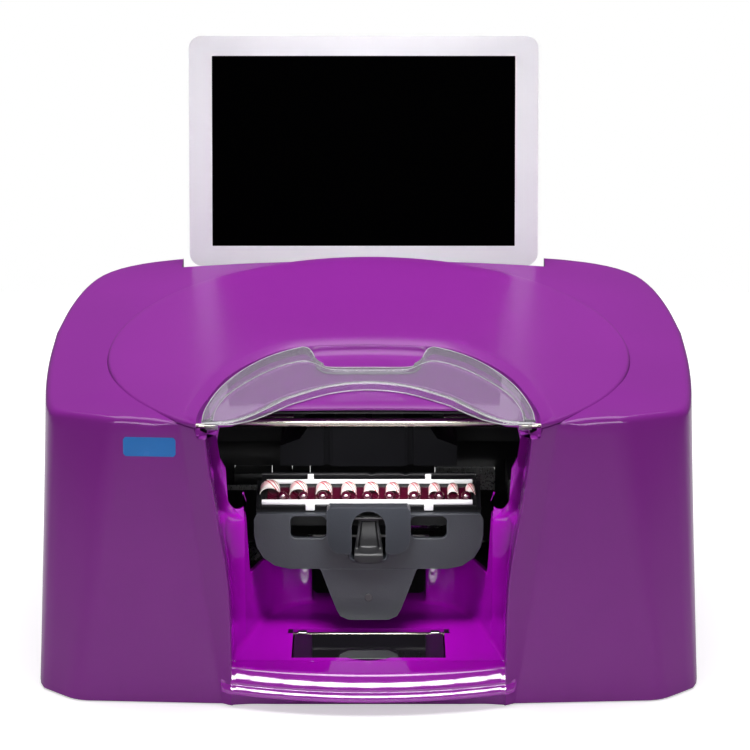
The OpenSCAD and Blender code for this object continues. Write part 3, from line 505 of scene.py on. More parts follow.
def toDisc(p, r):                   # the point of a circle about the disc's centre that faces p
    out = Vector((p.x, p.y - disc["y"]))
    out = out.normalized() * r
    return Vector((out.x, out.y + disc["y"]))


def discAngle(p):
    return math.degrees(math.atan2(p.x, disc["y"] - p.y))


rimColumns = 2 + 6 + 8              # the first points of a section stand in the opening and on the rim


def topOf(i):
    # height of the wall's upper end, and how far the column has left the rim
    z = 186.0
    for _ in range(4):
        p = skinPoint(i, z)
        free = max(0.0, min(1.0, (discAngle(p) - 44.3) / 8.0)) ** 0.8 if i >= rimColumns else 0.0
        z = mix(discZ(p) - 3.5, deckZ(p), free)
        if i < rimColumns and p.x < visorRoom["x"]:
            z = visorRoom["z"]
    return z, free


def housingRows():
    columnsOut = []
    for i in range(columns):
        top, free = topOf(i)
        brow = skinPoint(i, top)
        target = toDisc(brow, disc["r"] + 0.3)
        inward = target - brow
        if (brow - Vector((0, disc["y"]))).length < disc["r"] + 1.2:
            inward = -(toDisc(brow, 1) - Vector((0, disc["y"]))).normalized()
            target = brow + inward
        width = inward.length
        inward = inward.normalized()
        soft = min(skin["crease"], max(0.5, width * 0.55)) if free > 0 else 0.7
        low = skinPoint(i, 6.0)
        inner = low + (Vector((0, 170)) - low).normalized() * (3.0 if i > 1 else 0.5)
        bottom = skin["bottom"]
        column = [(inner, 6.0), (inner, bottom + 0.2), (skinPoint(i, bottom).lerp(inner, 0.25), bottom)]
        heights = [1.4, 3.2, 7.0, 12.0, 18.0] + [mix(18.0, top - soft, t) for t in shares(26)]
        column += [(skinPoint(i, z), z) for z in heights]
        for sine, cosine in quarterTurn(6):
            z = top - soft * (1 - sine)
            column.append((skinPoint(i, z) + inward * soft * (1 - cosine), z))
        start, startZ = column[-1]
        sink = max(0.0, deckZ(target) - (discZ(target) - 0.4 - 2.2 * (1 - free)))
        for t in shares(8):
            p, z = start.lerp(target, t), startZ
            if free > 0:
                along = soft / width + (1 - soft / width) * t
                z = mix(startZ - deckZ(start), -sink, ease(along)) + deckZ(p)
            column.append((p, z))
        end, endZ = column[-1]
        for drop, shift in ((0.5, 0.25), (2.0, 0.35), (9.0, 0.35)):
            reach = shift if free > 0 else shift + drop
            if end.x > visorRoom["x"] > end.x + inward.x * reach:
                reach = max(0.1, (end.x - visorRoom["x"]) / -inward.x)
            column.append((end + inward * reach, endZ - (drop if free > 0 else 0.0)))
        columnsOut.append([place(p.x, p.y, z) for p, z in column])
    return [list(row) for row in zip(*columnsOut)]


def cutBand(bm, faces, point, normal):   # a straight cut that leaves both sides
    geom = list(faces) + list({e for f in faces for e in f.edges}) + list({v for f in faces for v in f.verts})
    bmesh.ops.bisect_plane(bm, geom=geom, plane_co=point, plane_no=normal, dist=1e-7)


def facesIn(bm, low, high):         # whose middle lies in a box
    a, b = place(*low), place(*high)
    return [f for f in bm.faces if all(a[k] <= f.calc_center_median()[k] <= b[k] for k in range(3))]


trough = dict(x=130.0, y=319.0, z=204.8)
screenX = -4.0                      # the screen stands left of the middle
panel = dict(x=120.0, z0=24.0, z1=184.0, inset=4.0)


def growRim(bm, rim, axis, depth):
    # the border of a hole grown inwards
    for v in bmesh.ops.extrude_edge_only(bm, edges=rim)["geom"]:
        if isinstance(v, bmesh.types.BMVert):
            v.co[axis] -= depth * mm


def makeHousing():
    # the outer shell, cut open for the screen's channel and for the rear panel
    bm = bmesh.new()
    loft(bm, housingRows())
    mirrorX(bm)
    left, right = screenX - trough["x"], screenX + trough["x"]
    for point, normal in (((left, 330, 210), (1, 0, 0)), ((right, 330, 210), (1, 0, 0)),
                          ((0, trough["y"], 210), (0, 1, 0)), ((0, rearY, trough["z"]), (0, 0, 1))):
        near = facesIn(bm, (-150, 296, 196), (150, 350, 240))
        cutBand(bm, near, place(*point), Vector(normal))
    bmesh.ops.delete(bm, geom=facesIn(bm, (left, trough["y"], trough["z"]), (right, 350, 240)), context="FACES")
    side, low, high = panel["x"], panel["z0"], panel["z1"]
    for z in (low, high):
        near = facesIn(bm, (-side - 1, rearY - 1, 8), (side + 1, rearY + 1, 202))
        cutBand(bm, near, place(0, rearY, z), Vector((0, 0, 1)))
    bmesh.ops.delete(bm, geom=facesIn(bm, (-side, rearY - 0.5, low), (side, rearY + 0.5, high)), context="FACES")
    rim = [e for e in bm.edges if len(e.link_faces) == 1 and all(
        abs(v.co.y - place(0, rearY, 0).y) < 1e-6 and abs(v.co.x) <= (side + 0.01) * mm
        and low - 0.1 <= v.co.z / mm <= high + 0.1 for v in e.verts)]
    growRim(bm, rim, 1, panel["inset"])
    return putPiece(bm, "housing_shell", "machine", purple, ("housing",), 30)


makeHousing()


def frontY(x, z):
    return across([planPoint(k, z) for k in range(frontPoints)], x)


def makeLowerFront():
    # the strip of the front under the sill
    bm = bmesh.new()
    rows = []
    for z in (6.0, 0.8, 0.6, 1.4, 3.2, 7.0, 12.0, 17.6):
        edge = skinPoint(9, max(z, 1.4))
        row = []
        for i in range(25):
            x = edge.x * i / 24
            y = mix(frontY(x, z), edge.y, ease((x - 70) / (edge.x - 70)))
            row.append(place(x, y + (3.0 if z in (6.0, 0.8) else 0.8 if z == 0.6 else 0.0), z))
        rows.append(row)
    loft(bm, rows)
    mirrorX(bm)
    return putPiece(bm, "front_strip", "machine", purple, (), 30)


makeLowerFront()


def makeTrough():
    # the open channel at the rear of the deck that the screen's hinge stands in
    bm = bmesh.new()
    bmesh.ops.create_cube(bm, size=1)
    size = Vector((2 * trough["x"], rearY - trough["y"], 12)) * mm
    bmesh.ops.scale(bm, vec=size, verts=bm.verts)
    bmesh.ops.translate(bm, vec=place(screenX, (rearY + trough["y"]) / 2, trough["z"] + 6), verts=bm.verts)
    gone = [f for f in bm.faces if f.normal.z > 0.9 or f.normal.y > 0.9]
    bmesh.ops.delete(bm, geom=gone, context="FACES")
    long = [e for e in bm.edges if abs(e.verts[0].co.x - e.verts[1].co.x) > 0.1]
    bmesh.ops.subdivide_edges(bm, edges=long, cuts=24)
    for v in bm.verts:
        if v.co.z > (trough["z"] + 6) * mm:
            v.co.z = (deckZ(Vector((v.co.x / mm, v.co.y / mm - seatY))) - 0.05) * mm
    bmesh.ops.reverse_faces(bm, faces=bm.faces)
    return putPiece(bm, "housing_trough", "machine", purple, (), 30, keepNormals=True)


makeTrough()
print("housing made")


# plain label on the front wall

def makeLabel():
    bm = bmesh.new()
    label = dict(left=-153.6, right=-120.6, low=160.9, high=173.2, corner=1.4, off=0.14)
    rows = []
    for j in range(9):
        z = mix(label["low"], label["high"], j / 8)
        near = min(z - label["low"], label["high"] - z)
        cut = label["corner"] - math.sqrt(max(0.0, label["corner"] ** 2 - max(0.0, label["corner"] - near) ** 2))
        row = []
        for i in range(13):
            x = mix(label["left"] + cut, label["right"] - cut, i / 12)
            row.append(place(x, frontY(-x, z) - label["off"], z))
        rows.append(row)
    loft(bm, rows)
    bmesh.ops.recalc_face_normals(bm, faces=bm.faces)
    if sum(f.normal.y for f in bm.faces) > 0:
        bmesh.ops.reverse_faces(bm, faces=bm.faces)
    finish = matteMoulding("labelBlue", (0.006, 0.19, 0.62), (0.008, 0.20, 0.64), 0.3, 0.001, 0.05)
    return putPiece(bm, "front_label", "machine", finish, (), 30, keepNormals=True)


makeLabel()


# top disc with its recess

def normals(line):
    # outward normals of a half outline that ends on the middle line
    out = []
    for i in range(len(line)):
        d = line[min(i + 1, len(line) - 1)] - line[max(i - 1, 0)]
        out.append(Vector((d.y, -d.x)).normalized())
    out[-1] = Vector((0.0, 1.0))
    return out


niche = softLine(nicheHalf, 81)
nicheOut = normals(niche)
recess = dict(depth=8.0, band=8.0, bandDrop=2.2, corner=1.6, slope=9.0, rim=2.2)
discFront = math.degrees(math.asin(107.5 / disc["r"]))


def discRows():
    first = next(i for i, p in enumerate(niche) if p.y > 20)
    frontEdge = evenly([(105.4, 20), (86, 22), (60, 46), (0, 46)], len(niche) - first)
    columnsOut = []
    for i, (p, n) in enumerate(zip(niche, nicheOut)):
        t = i / (len(niche) - 1)
        angle = math.radians(mix(discFront, 180, t))
        out = Vector((math.sin(angle), -math.cos(angle)))
        c = Vector((0, disc["y"])) + out * disc["r"]
        f = Vector((p.x - 2.05, p.y)) if i < first else frontEdge[i - first]
        corner = mix(recess["slope"], recess["corner"], ease((p.x - 32) / 10))
        rise = min(corner, recess["depth"] - recess["bandDrop"] - 0.6)
        inner = p - n * corner
        floor = -recess["depth"]
        span = (inner - f).length
        toWall = (inner - f).normalized() if span > 0.3 else -n
        column = [(f, floor - 1.5), (f, floor - 0.3), (f + toWall * min(0.4, span * 0.3), floor)]
        column += [(f.lerp(inner, 0.02 + 0.98 * t), floor) for t in shares(8)]
        column += [(inner + n * corner * sine, rise * (1 - cosine) + floor) for sine, cosine in quarterTurn(5)]
        width = (c - p).length
        band = min(recess["band"], width * 0.4)
        lip = min(0.6, band * 0.3)
        bandZ = -recess["bandDrop"]
        column += [(p, bandZ - lip), (p + n * lip * 0.3, bandZ - lip * 0.3), (p + n * lip, bandZ)]
        column += [(p + n * mix(lip, band, s), bandZ * (1 - s) * (1 - 0.35 * s)) for s in shares(8)]
        start = p + n * band
        rim = min(recess["rim"], width * 0.3)
        end = c - out * rim
        column += [(start.lerp(end, s), 0.0) for s in shares(18)]
        column += [(end + out * rim * sine, -rim * (1 - cosine)) for sine, cosine in quarterTurn(5)]
        foot = mix(2.6, 8.0, ease((mix(discFront, 180, t) - 44) / 8))
        column += [(c, -foot), (c - out * min(2.0, width * 0.3), -foot)]
        columnsOut.append([onDisc(q, z) for q, z in column])
    return [list(row) for row in zip(*columnsOut)]


def makeDisc():
    bm = bmesh.new()
    loft(bm, discRows())
    mirrorX(bm)
    return putPiece(bm, "disc_shell", "machine", discPurple, ("top_disc",), 40)


makeDisc()
print("disc made")


# visor: its outer edge, the line where the flat plate ends, and the arched inner edge, right half

visorOuter = softLine([(104.5, 14), (104.2, 28), (102, 41.5), (99, 56), (94.5, 71), (88.8, 85), (83, 96.5),
                       (76.5, 107), (70, 116), (63, 123.5), (55.5, 130), (48.5, 134.5), (44.5, 136.6),
                       (42.5, 136.9), (40.6, 136), (38.5, 133.5), (36.6, 128), (35.5, 121.8), (34, 113.5),
                       (31.2, 106), (27.8, 101.3), (23, 99.8), (0, 99.8)], 131, 2)
visorLine = softLine([(97, 12.4), (96.8, 18), (96.3, 29.4), (93.9, 40.6), (90.8, 52), (84.8, 65), (77.9, 76.4),
                      (73.7, 83), (63.7, 96.5), (52.8, 107), (42.5, 112.4), (35, 107), (29, 98), (22, 94.5),
                      (0, 94.2)], 131, 2)
visorBell = softLine([(104.3, 11.5), (96, 10.9), (87, 11.3), (80.8, 14.6), (73, 21.6), (66.2, 30), (58.5, 39.8),
                      (51.5, 49), (43.6, 55), (36, 61), (28.4, 66.3), (21, 70), (14, 72.5), (6, 74),
                      (0, 74.2)], 131, 2)
# heights count from the disc's top
visor = dict(plate=-1.5, edge=1.2, skirt=4.6, wall=1.7, hingeY=12, hingeZ=181.5, bossR=2.7, pinR=1.5)
# how deep the arched edge hangs at each distance from the middle
lipDepth = [(104.5, 3.0), (90, 4.1), (79, 5.2), (71, 6.4), (62, 7.2), (55, 7.6), (0, 7.6)]


def lipAt(x):
    for (a, p), (b, q) in zip(lipDepth, lipDepth[1:]):
        if b <= x <= a:
            return mix(p, q, (a - x) / (a - b))
    return lipDepth[-1][1]


def makeVisor():
    bm = bmesh.new()
    columnsOut = []
    for o, m, b, n in zip(visorOuter, visorLine, visorBell, normals(visorOuter)):
        drop = visor["skirt"] * ease((o.y - 18) / 10)
        edge, plate = visor["edge"], visor["plate"]
        column = [(o, plate - edge - drop * (1 - t)) for t in shares(5, 0)]
        column += [(o - n * edge * (1 - cosine), plate - edge * (1 - sine)) for sine, cosine in quarterTurn(4)]
        column += [((o - n * edge).lerp(m, k / 6), plate) for k in range(1, 6)]
        step = (b - m).normalized() * min(0.5, (b - m).length * 0.2)
        column += [(m, -1.52), (m + step * 0.6, -1.9), (m + step, -2.0)]
        reach = (b - m - step).length
        soft = min(1.8, reach * 0.4)
        along = (b - m - step).normalized()
        column += [(m + step + along * (reach - soft) * k / 12, -2.0) for k in range(1, 13)]
        column += [(b - along * soft * (1 - sine), -2.0 - soft * (1 - cosine)) for sine, cosine in quarterTurn(5)]
        lip = max(lipAt(b.x), 2.2 + soft)
        column += [(b, mix(-2.0 - soft, -lip, t)) for t in shares(4)]
        columnsOut.append([onDisc(q, z) for q, z in column])
    loft(bm, [list(row) for row in zip(*columnsOut)])
    mirrorX(bm)
    piece = putPiece(bm, "visor_shell_clear", "visor_shell", clear, ("visor",), 45)
    return addBevel(addWall(piece, visor["wall"]), 0.35, 2, 40)


makeVisor()


def addGlintTube(bm, line, radius, sides=8):
    # a fine rounded tube of whiter plastic along an edge: a painted highlight
    rows = []
    for i, p in enumerate(line):
        along = (line[min(i + 1, len(line) - 1)] - line[max(i - 1, 0)]).normalized()
        side = along.cross(Vector((0, 0, 1))).normalized()
        up = side.cross(along)
        rows.append([p + (side * math.cos(math.tau * k / sides) + up * math.sin(math.tau * k / sides)) * radius * mm
                     for k in range(sides)])
    loft(bm, rows, closed=True)


def makeVisorGlints():
    # whiter tubes along the top edge, the notch, the middle line and the arched lip: painted highlights
    bm = bmesh.new()
    top = [onDisc(o - n * 0.7, -1.75) for o, n in zip(visorOuter, normals(visorOuter))]
    notch = [onDisc(o, -6.9) for o in visorOuter if o.x < 41 and o.y < 136]
    middle = [onDisc(m, -1.6) for m in visorLine]
    lipTop = [onDisc(b, -2.7) for b in visorBell]
    lipFoot = [onDisc(b, 0.3 - lipAt(b.x)) for b in visorBell]
    for line, radius in ((top, 0.34), (notch, 0.4), (middle, 0.2), (lipTop, 0.42), (lipFoot, 0.42)):
        addGlintTube(bm, line, radius)
    mirrorX(bm)
    return putPiece(bm, "visor_painted_highlights", "visor_shell", visorGlintWhite, (), 60)


makeVisorGlints()


def makeRod(name, body, finish, radius, start, end, replaced=(), edge=0.4, sides=32):
    # a turned rod with rounded ends, along x or y
    start, end = place(*start), place(*end)
    axis = (end - start).normalized()
    length = (end - start).length
    r, e = radius * mm, min(edge * mm, radius * mm * 0.9)
    bm = bmesh.new()
    profile = [(0, 0), (r - e, 0), (r - e * 0.3, e * 0.3), (r, e), (r, length - e), (r - e * 0.3, length - e * 0.3),
               (r - e, length), (0, length)]
    line = [bm.verts.new((a, 0, b)) for a, b in profile]
    wires = [bm.edges.new(pair) for pair in zip(line, line[1:])]
    bmesh.ops.spin(bm, geom=line + wires, cent=(0, 0, 0), axis=(0, 0, 1), angle=math.tau, steps=sides,
                   use_merge=True)
    turn = Vector((0, 0, 1)).rotation_difference(axis).to_matrix().to_4x4()
    bmesh.ops.transform(bm, matrix=Matrix.Translation(start) @ turn, verts=bm.verts)
    return putPiece(bm, name, body, finish, replaced, 40)


hinge = visor["hingeY"], visor["hingeZ"]
for side, hand in ((-1, "left"), (1, "right")):
    makeRod("visor_boss_" + hand, "visor_shell", clear, visor["bossR"], (side * 93.6, *hinge),
            (side * 102.0, *hinge), (), 0.8)
print("visor made")


# sill

sill = dict(out=18.0, arc=260.0, end=94.0, round=8.0, over=1.6, top=25.75, low=8.0, rimX=86)


def sillLine(x):
    return sill["arc"] - sill["out"] - math.sqrt(sill["arc"] ** 2 - x * x)


# the nose's two rolls as stretches: the surface's angle at the start and end, and the length
sillRolls = [(90, 28, 5.0), (28, 12, 7.8), (12, -12, 1.0), (-12, 30, 1.2), (30, 10, 4.4), (10, -75, 4.0),
             (-75, -90, 1.4)]


def sillProfile():
    # depth behind the nose's front and height, from the back of the top down to the underside
    d, z = 13.0, sill["top"]
    points = [(d, z)]
    for start, end, length in sillRolls:
        for k in range(8):
            turn = math.radians(mix(start, end, (k + 0.5) / 8))
            d, z = d - math.sin(turn) * length / 8, z - math.cos(turn) * length / 8
            points.append((d, z))
    nose = min(d for d, _ in points)
    low = points[-1][1]
    points = [(d - nose, mix(sill["low"], sill["top"], (z - low) / (sill["top"] - low))) for d, z in points]
    back = [(40, 24.2), (40, 25.0), (39.2, 25.6)]
    back += [(mix(38, points[0][0] + 2, t), 26.0 - 0.25 * t) for t in shares(8, 0)]
    return back + points + [(14, sill["low"]), (20, sill["low"])]


def makeSill():
    bm = bmesh.new()
    profile = sillProfile()
    rows = []
    for sine, _ in [(0.0, 1.0)] + quarterTurn(46):
        x = sill["end"] * sine
        k = max(0.0, 1 - max(0.0, (x - (sill["end"] - sill["round"])) / sill["round"]) ** 3) ** (1 / 3)
        rim = rimY(max(x, 86.5), 17)
        front = sillLine(x) if x < sill["rimX"] else min(sillLine(x), rim - sill["over"])
        row = []
        for d, z in profile:
            y = min(front + d, 12.2)
            if x > sill["rimX"]:
                y = mix(rim + 0.6 + min(d, 10) * 0.2, y, k)
                z = mix(16.5, z, 0.6 + 0.4 * k)
            row.append(place(x, y, z))
        rows.append(row)
    loft(bm, rows)
    mirrorX(bm)
    return putPiece(bm, "sill_shell", "machine", sillMagenta, ("sill",), 50)


sillMagenta = glossPaint("sillMagenta", (0.40, 0.0020, 0.47), (0.41, 0.0022, 0.48), 0.05, 1.0, 2.0)
makeSill()
print("sill made")


# bay liner

bay = dict(front=12.3, step=58.0, inner=80.0, floor=23.5, ledge=112.0, top=175.4, fillet=3.0)
bayLine = softLine(bayEdge, 120, 2)


def wallX(z):
    return across(bayLine, z)


steps = dict(notchX=84.9, notchZ=118.0, notchR=5.6, thick=2.5)


def makeStepPlates():
    # the walls' rear steps, each ending in a rounded notch with a prong beside it
    bm = bmesh.new()
    cx, cz, r, left = steps["notchX"], steps["notchZ"], steps["notchR"], bay["inner"]
    outline = [(left, 96), (left, 123.4), (left + 0.7, 124.2), (left + 1.3, 123.4)]
    outline += [(cx - r * math.cos(a), cz - r * math.sin(a)) for a in map(math.radians, range(0, 181, 15))]
    outline += [(cx + r + 0.4, 126), (cx + r + 1.2, 140), (wallX(150), 152), (wallX(150) + 1.5, 150),
                (wallX(118) + 1.5, 118), (wallX(96) + 1.5, 96)]
    line = [bm.verts.new(place(x, bay["step"], z)) for x, z in outline]
    bm.faces.new(line)
    corner = [(wallX(152), 151), (93.6, bay["top"]), (wallX(175) + 1.5, bay["top"]), (wallX(152) + 1.5, 151)]
    bm.faces.new([bm.verts.new(place(x, bay["step"], z)) for x, z in corner])
    pushBack(bm, steps["thick"])
    mirrorX(bm)
    piece = putPiece(bm, "bay_steps", "machine", magenta, (), 30)
    return addBevel(piece, 0.5, 3, 40)


makeStepPlates()

# the floor's border behind the step, with the channel at its rear
floorLine = softLine([(80, 58), (78.6, 66), (75, 84), (68.5, 104), (59, 120), (48, 129.5), (38.6, 131.8),
                      (38.2, 134), (38, 152)], 71, 3)


def sideX(y, z):
    # the side wall leans inwards towards the rear, below a sloping ledge
    lean = mix(wallX(z) - bay["inner"], 2.5, ease((z - 103) / 16))
    return wallX(z) - lean * max(0.0, (y - bay["front"]) / (bay["step"] - bay["front"])) ** 2.4


def wallTop(y):
    return mix(bay["ledge"], 63.7, ease((y - 60) / 15))


# the hole of the floor lid; behind the step it widens for the hinge ears
hole = dict(x=49.5, wide=53.0, y0=24.5, y1=80.0, step=71.0, floor=23.5, lip=2.4, dent=1.9)


def makeLiner():
    # floor with a soft corner all round, side walls, and the low wall behind the step
    bm = bmesh.new()
    depths = [12.3, 12.9, 14] + [mix(16, 57, k / 14) for k in range(15)] + [57.6]
    path = [(Vector((sideX(y, 24), y)), True) for y in depths] + [(p, False) for p in floorLine]
    outs = normals([p for p, _ in path])
    outs[-1] = Vector((1.0, 0.0))
    columnsOut = []
    for (p, isSide), n in zip(path, outs):
        fillet = bay["fillet"] * ease((p.y - 12) / 30) + 0.8
        inner = p - n * fillet
        column = [(Vector((0.0, p.y)).lerp(inner, t), 0.0) for t in shares(8, 0)]
        column += [(inner + n * fillet * sine, fillet * (1 - cosine)) for sine, cosine in quarterTurn(7)]
        high = wallTop(p.y) - bay["floor"]
        for up in [mix(fillet, high, t) for t in shares(30)]:
            column.append((Vector((sideX(p.y, bay["floor"] + up), p.y)) if isSide else p, up))
        if not isSide:
            column[-1] = (p, high - 0.4)
        for shift in (0.5, 1.8):
            column.append((column[-1][0] + n * (0.0 if isSide else shift), high))
        columnsOut.append([place(q.x, q.y, bay["floor"] + z) for q, z in column])
    loft(bm, columnsOut)
    rows = []
    for z in [mix(bay["ledge"], bay["top"], t) for t in shares(24, 0)]:
        rows.append([place(sideX(y, z), y, z) for y in depths + [58.0]]
                    + [place(sideX(58, z) + 0.3, 58.5, z), place(sideX(58, z) + 2, 58.6, z)])
    loft(bm, rows)
    x, wide, y0, y1, step, floor = (hole[key] for key in ("x", "wide", "y0", "y1", "step", "floor"))
    for point, normal in (((x, 50, floor), (1, 0, 0)), ((wide, 50, floor), (1, 0, 0)), ((0, y0, floor), (0, 1, 0)),
                          ((0, y1, floor), (0, 1, 0)), ((0, step, floor), (0, 1, 0))):
        cutBand(bm, facesIn(bm, (-1, 12, 22), (78, 100, 24.2)), place(*point), Vector(normal))
    gone = facesIn(bm, (-1, y0, 22), (x, y1, 24.2)) + facesIn(bm, (x, step, 22), (wide, y1, 24.2))
    bmesh.ops.delete(bm, geom=list(set(gone)), context="FACES")
    rim = [e for e in bm.edges if len(e.link_faces) == 1 and not all(v.co.x < 1e-6 for v in e.verts) and all(
        v.co.x < (wide + 0.01) * mm and (y0 - 0.01) * mm < v.co.y - seatY * mm < (y1 + 0.01) * mm for v in e.verts)]
    growRim(bm, rim, 2, hole["lip"])
    near = {e for f in facesIn(bm, (-1, 12.4, 22), (22, y0 + 0.1, 24.2)) for e in f.edges}
    bmesh.ops.subdivide_edges(bm, edges=list(near), cuts=5, use_grid_fill=True)
    for v in bm.verts:              # a shallow dent for a fingertip in front of the lid
        away = (v.co.x / mm / 14) ** 2 + ((v.co.y / mm - seatY - y0) / 8.5) ** 2
        if away < 1 and 23 * mm < v.co.z < 24 * mm and v.co.y / mm - seatY < y0 + 0.01:
            v.co.z -= hole["dent"] * (1 - away) * mm
    mirrorX(bm)
    return putPiece(bm, "bay_liner_shell", "machine", magenta, ("bay_liner",), 35)


makeLiner()
print("liner made")


# smaller parts of the machine that keep the drawn shape

# each body's nodes, with their finish and the width of the bevel in millimetres
softNodes = {
    "machine": dict(
        lid_well=(black, 0.3), base_plate=(black, 0.5), feet=(rubber, 0.8), base_screws=(plainSteel, 0.2),
        rear_panel=(black, 0.5), power_inlet=(black, 0.3), switch_frame=(black, 0.3), port_block=(plainSteel, 0.2),
        side_plates=(blackSteel, 0.3), feed_deck=(blackSteel, 0.3), rear_beam=(blackSteel, 0.4),
        rail_strip=(blackSteel, 0.3), encoder_strip=(stripClear, 0.1), drive_belt=(rubber, 0.2),
        carriage_motor=(plainSteel, 0.5), idler_post=(plainSteel, 0.3), service_station=(black, 0.8),
        main_board=(board, 0.2), power_supply=(plainSteel, 0.4), guide_blocks=(black, 0.6),
        feed_motor=(plainSteel, 0.5), screen_bracket=(black, 0.5)),
    "rocker_switch": dict(rocker=(leverBlack, 0.3)),
    "drive_wheel": dict(drive_pulley=(brass, 0.2)),
    "idler_wheel": dict(idler_pulley=(brass, 0.2)),
    "feed_wheel": dict(feed_roller=(rubber, 0.3)),
    "lid": dict(floor_lid=(smoked, 0.4)),
    "screen": dict(screen_frame=(frameWhite, 1.2), screen_glass=(displayBlack, 0.2), screen_back=(frameWhite, 1.5)),
    "platform": dict(front_plate=(grey, 0.6), tongue=(grey, 0.6), tongue_rivet=(blackSteel, 0.3),
                     grip_block=(shadedGripGrey, 1.2), bed_tray=(black, 0.5)),
    "nail_cassette": dict(cassette=(black, 0.4), front_rail=(railWhite, 0.35), rear_rail=(railWhite, 0.35),
                          nail_rests=(wine, 0.2)),
    "print_carriage": dict(carriage=(carriageBlack, 0.5), cartridges=(black, 0.5), belt_clamp=(black, 0.4))}
for body, nodes in softNodes.items():
    for node, (finish, width) in nodes.items():
        softCopy(node, body, finish, width, 2 if body == "machine" else 3)
for v in bpy.data.objects["guide_blocks_soft"].data.vertices:
    if v.co.z > 91.9 * mm:          # the tray runs clear of the blocks
        v.co.z -= 0.2 * mm
print("plain pieces made")


# release lever and the frame round it

lever = dict(top=105.0, low=75.8, back=66.5, out=59.5, wall=1.0)
leverFrame = dict(front=61.5, deep=8.3, half=0.9)


def makeLever():
    # a dished blade whose foot comes forward as a lip
    bm = bmesh.new()
    rows = []
    for j in range(49):
        v = j / 48
        z = mix(lever["top"], lever["low"], v)
        half = mix(6.6, 9.3, ease((v - 0.1) / 0.8)) - 1.6 * ease((v - 0.92) / 0.1)
        face = mix(lever["back"], lever["back"] - 2.2, ease((v - 0.1) / 0.5))
        face = mix(face, lever["out"], ease((v - 0.70) / 0.14))
        row = [place(-half, lever["back"] + 1.5, z)]
        for i in range(33):
            u = i / 16 - 1
            dish = ease((0.80 - abs(u)) / 0.16) * ease((v - 0.1) / 0.07) * ease((0.80 - 0.10 * u * u - v) / 0.05)
            row.append(place(u * half, face + 3.6 * dish + 0.9 * u ** 4, z))
        rows.append(row + [place(half, lever["back"] + 1.5, z)])
    foot = [place(v.x / mm, lever["back"] + 1.5, lever["low"] + 0.6) for v in rows[-1]]
    loft(bm, rows + [foot])
    piece = putPiece(bm, "release_lever_blade", "lever", leverBlack, ("release_lever",), 40)
    return addBevel(addWall(piece, lever["wall"]), 0.3, 2, 40)


makeLever()


def makeLeverFrame():
    # the rounded frame under the grip that the lever's foot stands in
    bm = bmesh.new()
    path = softLine([(12.3, 88), (12.3, 80), (11.6, 77.2), (8, 75.9), (0, 75.3)], 25, 2)
    outs = normals(path)
    outs[-1] = Vector((0, -1))
    rows = [[], []]
    for p, n in zip(path, outs):
        n = (n if n.x > 0 or abs(n.x) < 1e-6 else -n) * leverFrame["half"]
        for row, q in zip(rows, (p + n, p - n)):
            row.append(place(max(0.0, q.x), leverFrame["front"], q.y))
    loft(bm, rows)
    pushBack(bm, leverFrame["deep"])
    mirrorX(bm)
    return addBevel(putPiece(bm, "lever_frame", "platform", shadedGripGrey, (), 30), 0.45, 3, 40)


makeLeverFrame()


# nail tips and the wall behind them

bed = dict(y=77.0, z=111.2, tilt=math.radians(20))


def onBed(x, y, z):
    c, w = math.cos(bed["tilt"]), math.sin(bed["tilt"])
    return place(x, bed["y"] + y * c - z * w, bed["z"] + y * w + z * c)


nailArt, tree, shader = newFinish("nailArt", (0.85, 0.7, 0.68), Coat_Weight=1.0, Coat_Roughness=0.05)
useMoulded(tree, shader, 0.0008, 0.02, 0.01, 0.01, 0.2, 0.28, coat=True)
uv = addNode(tree, "UVMap", uv_map="tip")
split = addNode(tree, "SeparateXYZ")
tree.links.new(uv.outputs[0], split.inputs[0])


def strokeMask(across, along, bend, offset, width):
    # a painted line: across * u + along * v + bend * u * u + offset = 0
    def step(kind, first, second, add=None):
        node = addNode(tree, "Math", operation=kind)
        for socket, value in zip(node.inputs, (first, second, add)):
            if isinstance(value, float):
                socket.default_value = value
            elif value is not None:
                tree.links.new(value, socket)
        return node.outputs[0]
    u, v = split.outputs[0], split.outputs[1]
    total = step("MULTIPLY_ADD", u, across, offset)
    total = step("MULTIPLY_ADD", v, along, total)
    total = step("MULTIPLY_ADD", step("MULTIPLY", u, u), bend, total)
    return rangeNode(tree, step("ABSOLUTE", total, None), width * 1.5, width * 0.7, 0.0, 1.0)


paint = blendColours(tree, strokeMask(0.5, -1.0, 0.0, 0.30, 0.16), (0.86, 0.80, 0.76), (0.80, 0.50, 0.50))
paint = blendColours(tree, strokeMask(1.0, 0.75, 0.0, -0.80, 0.035), paint, (0.52, 0.012, 0.03))
paint = blendColours(tree, strokeMask(-0.9, 1.0, 1.6, -0.62, 0.045), paint, (0.42, 0.02, 0.05))
paint = blendColours(tree, strokeMask(0.3, 1.0, 0.4, -1.05, 0.05), paint, (0.35, 0.25, 0.16))
tree.links.new(paint, shader.inputs["Base Color"])

# where each tip stands along the row, and its width
tips = {-64.4: 13.6, -45.8: 12.1, -29.2: 11, -13: 10.3, 1.7: 10.1,
        15.7: 9.4, 29.7: 8.5, 43: 8.1, 55: 7.4, 66.4: 6.7}
tip = dict(front=9.4, rear=20.6, foot=-0.9, wall=0.6)


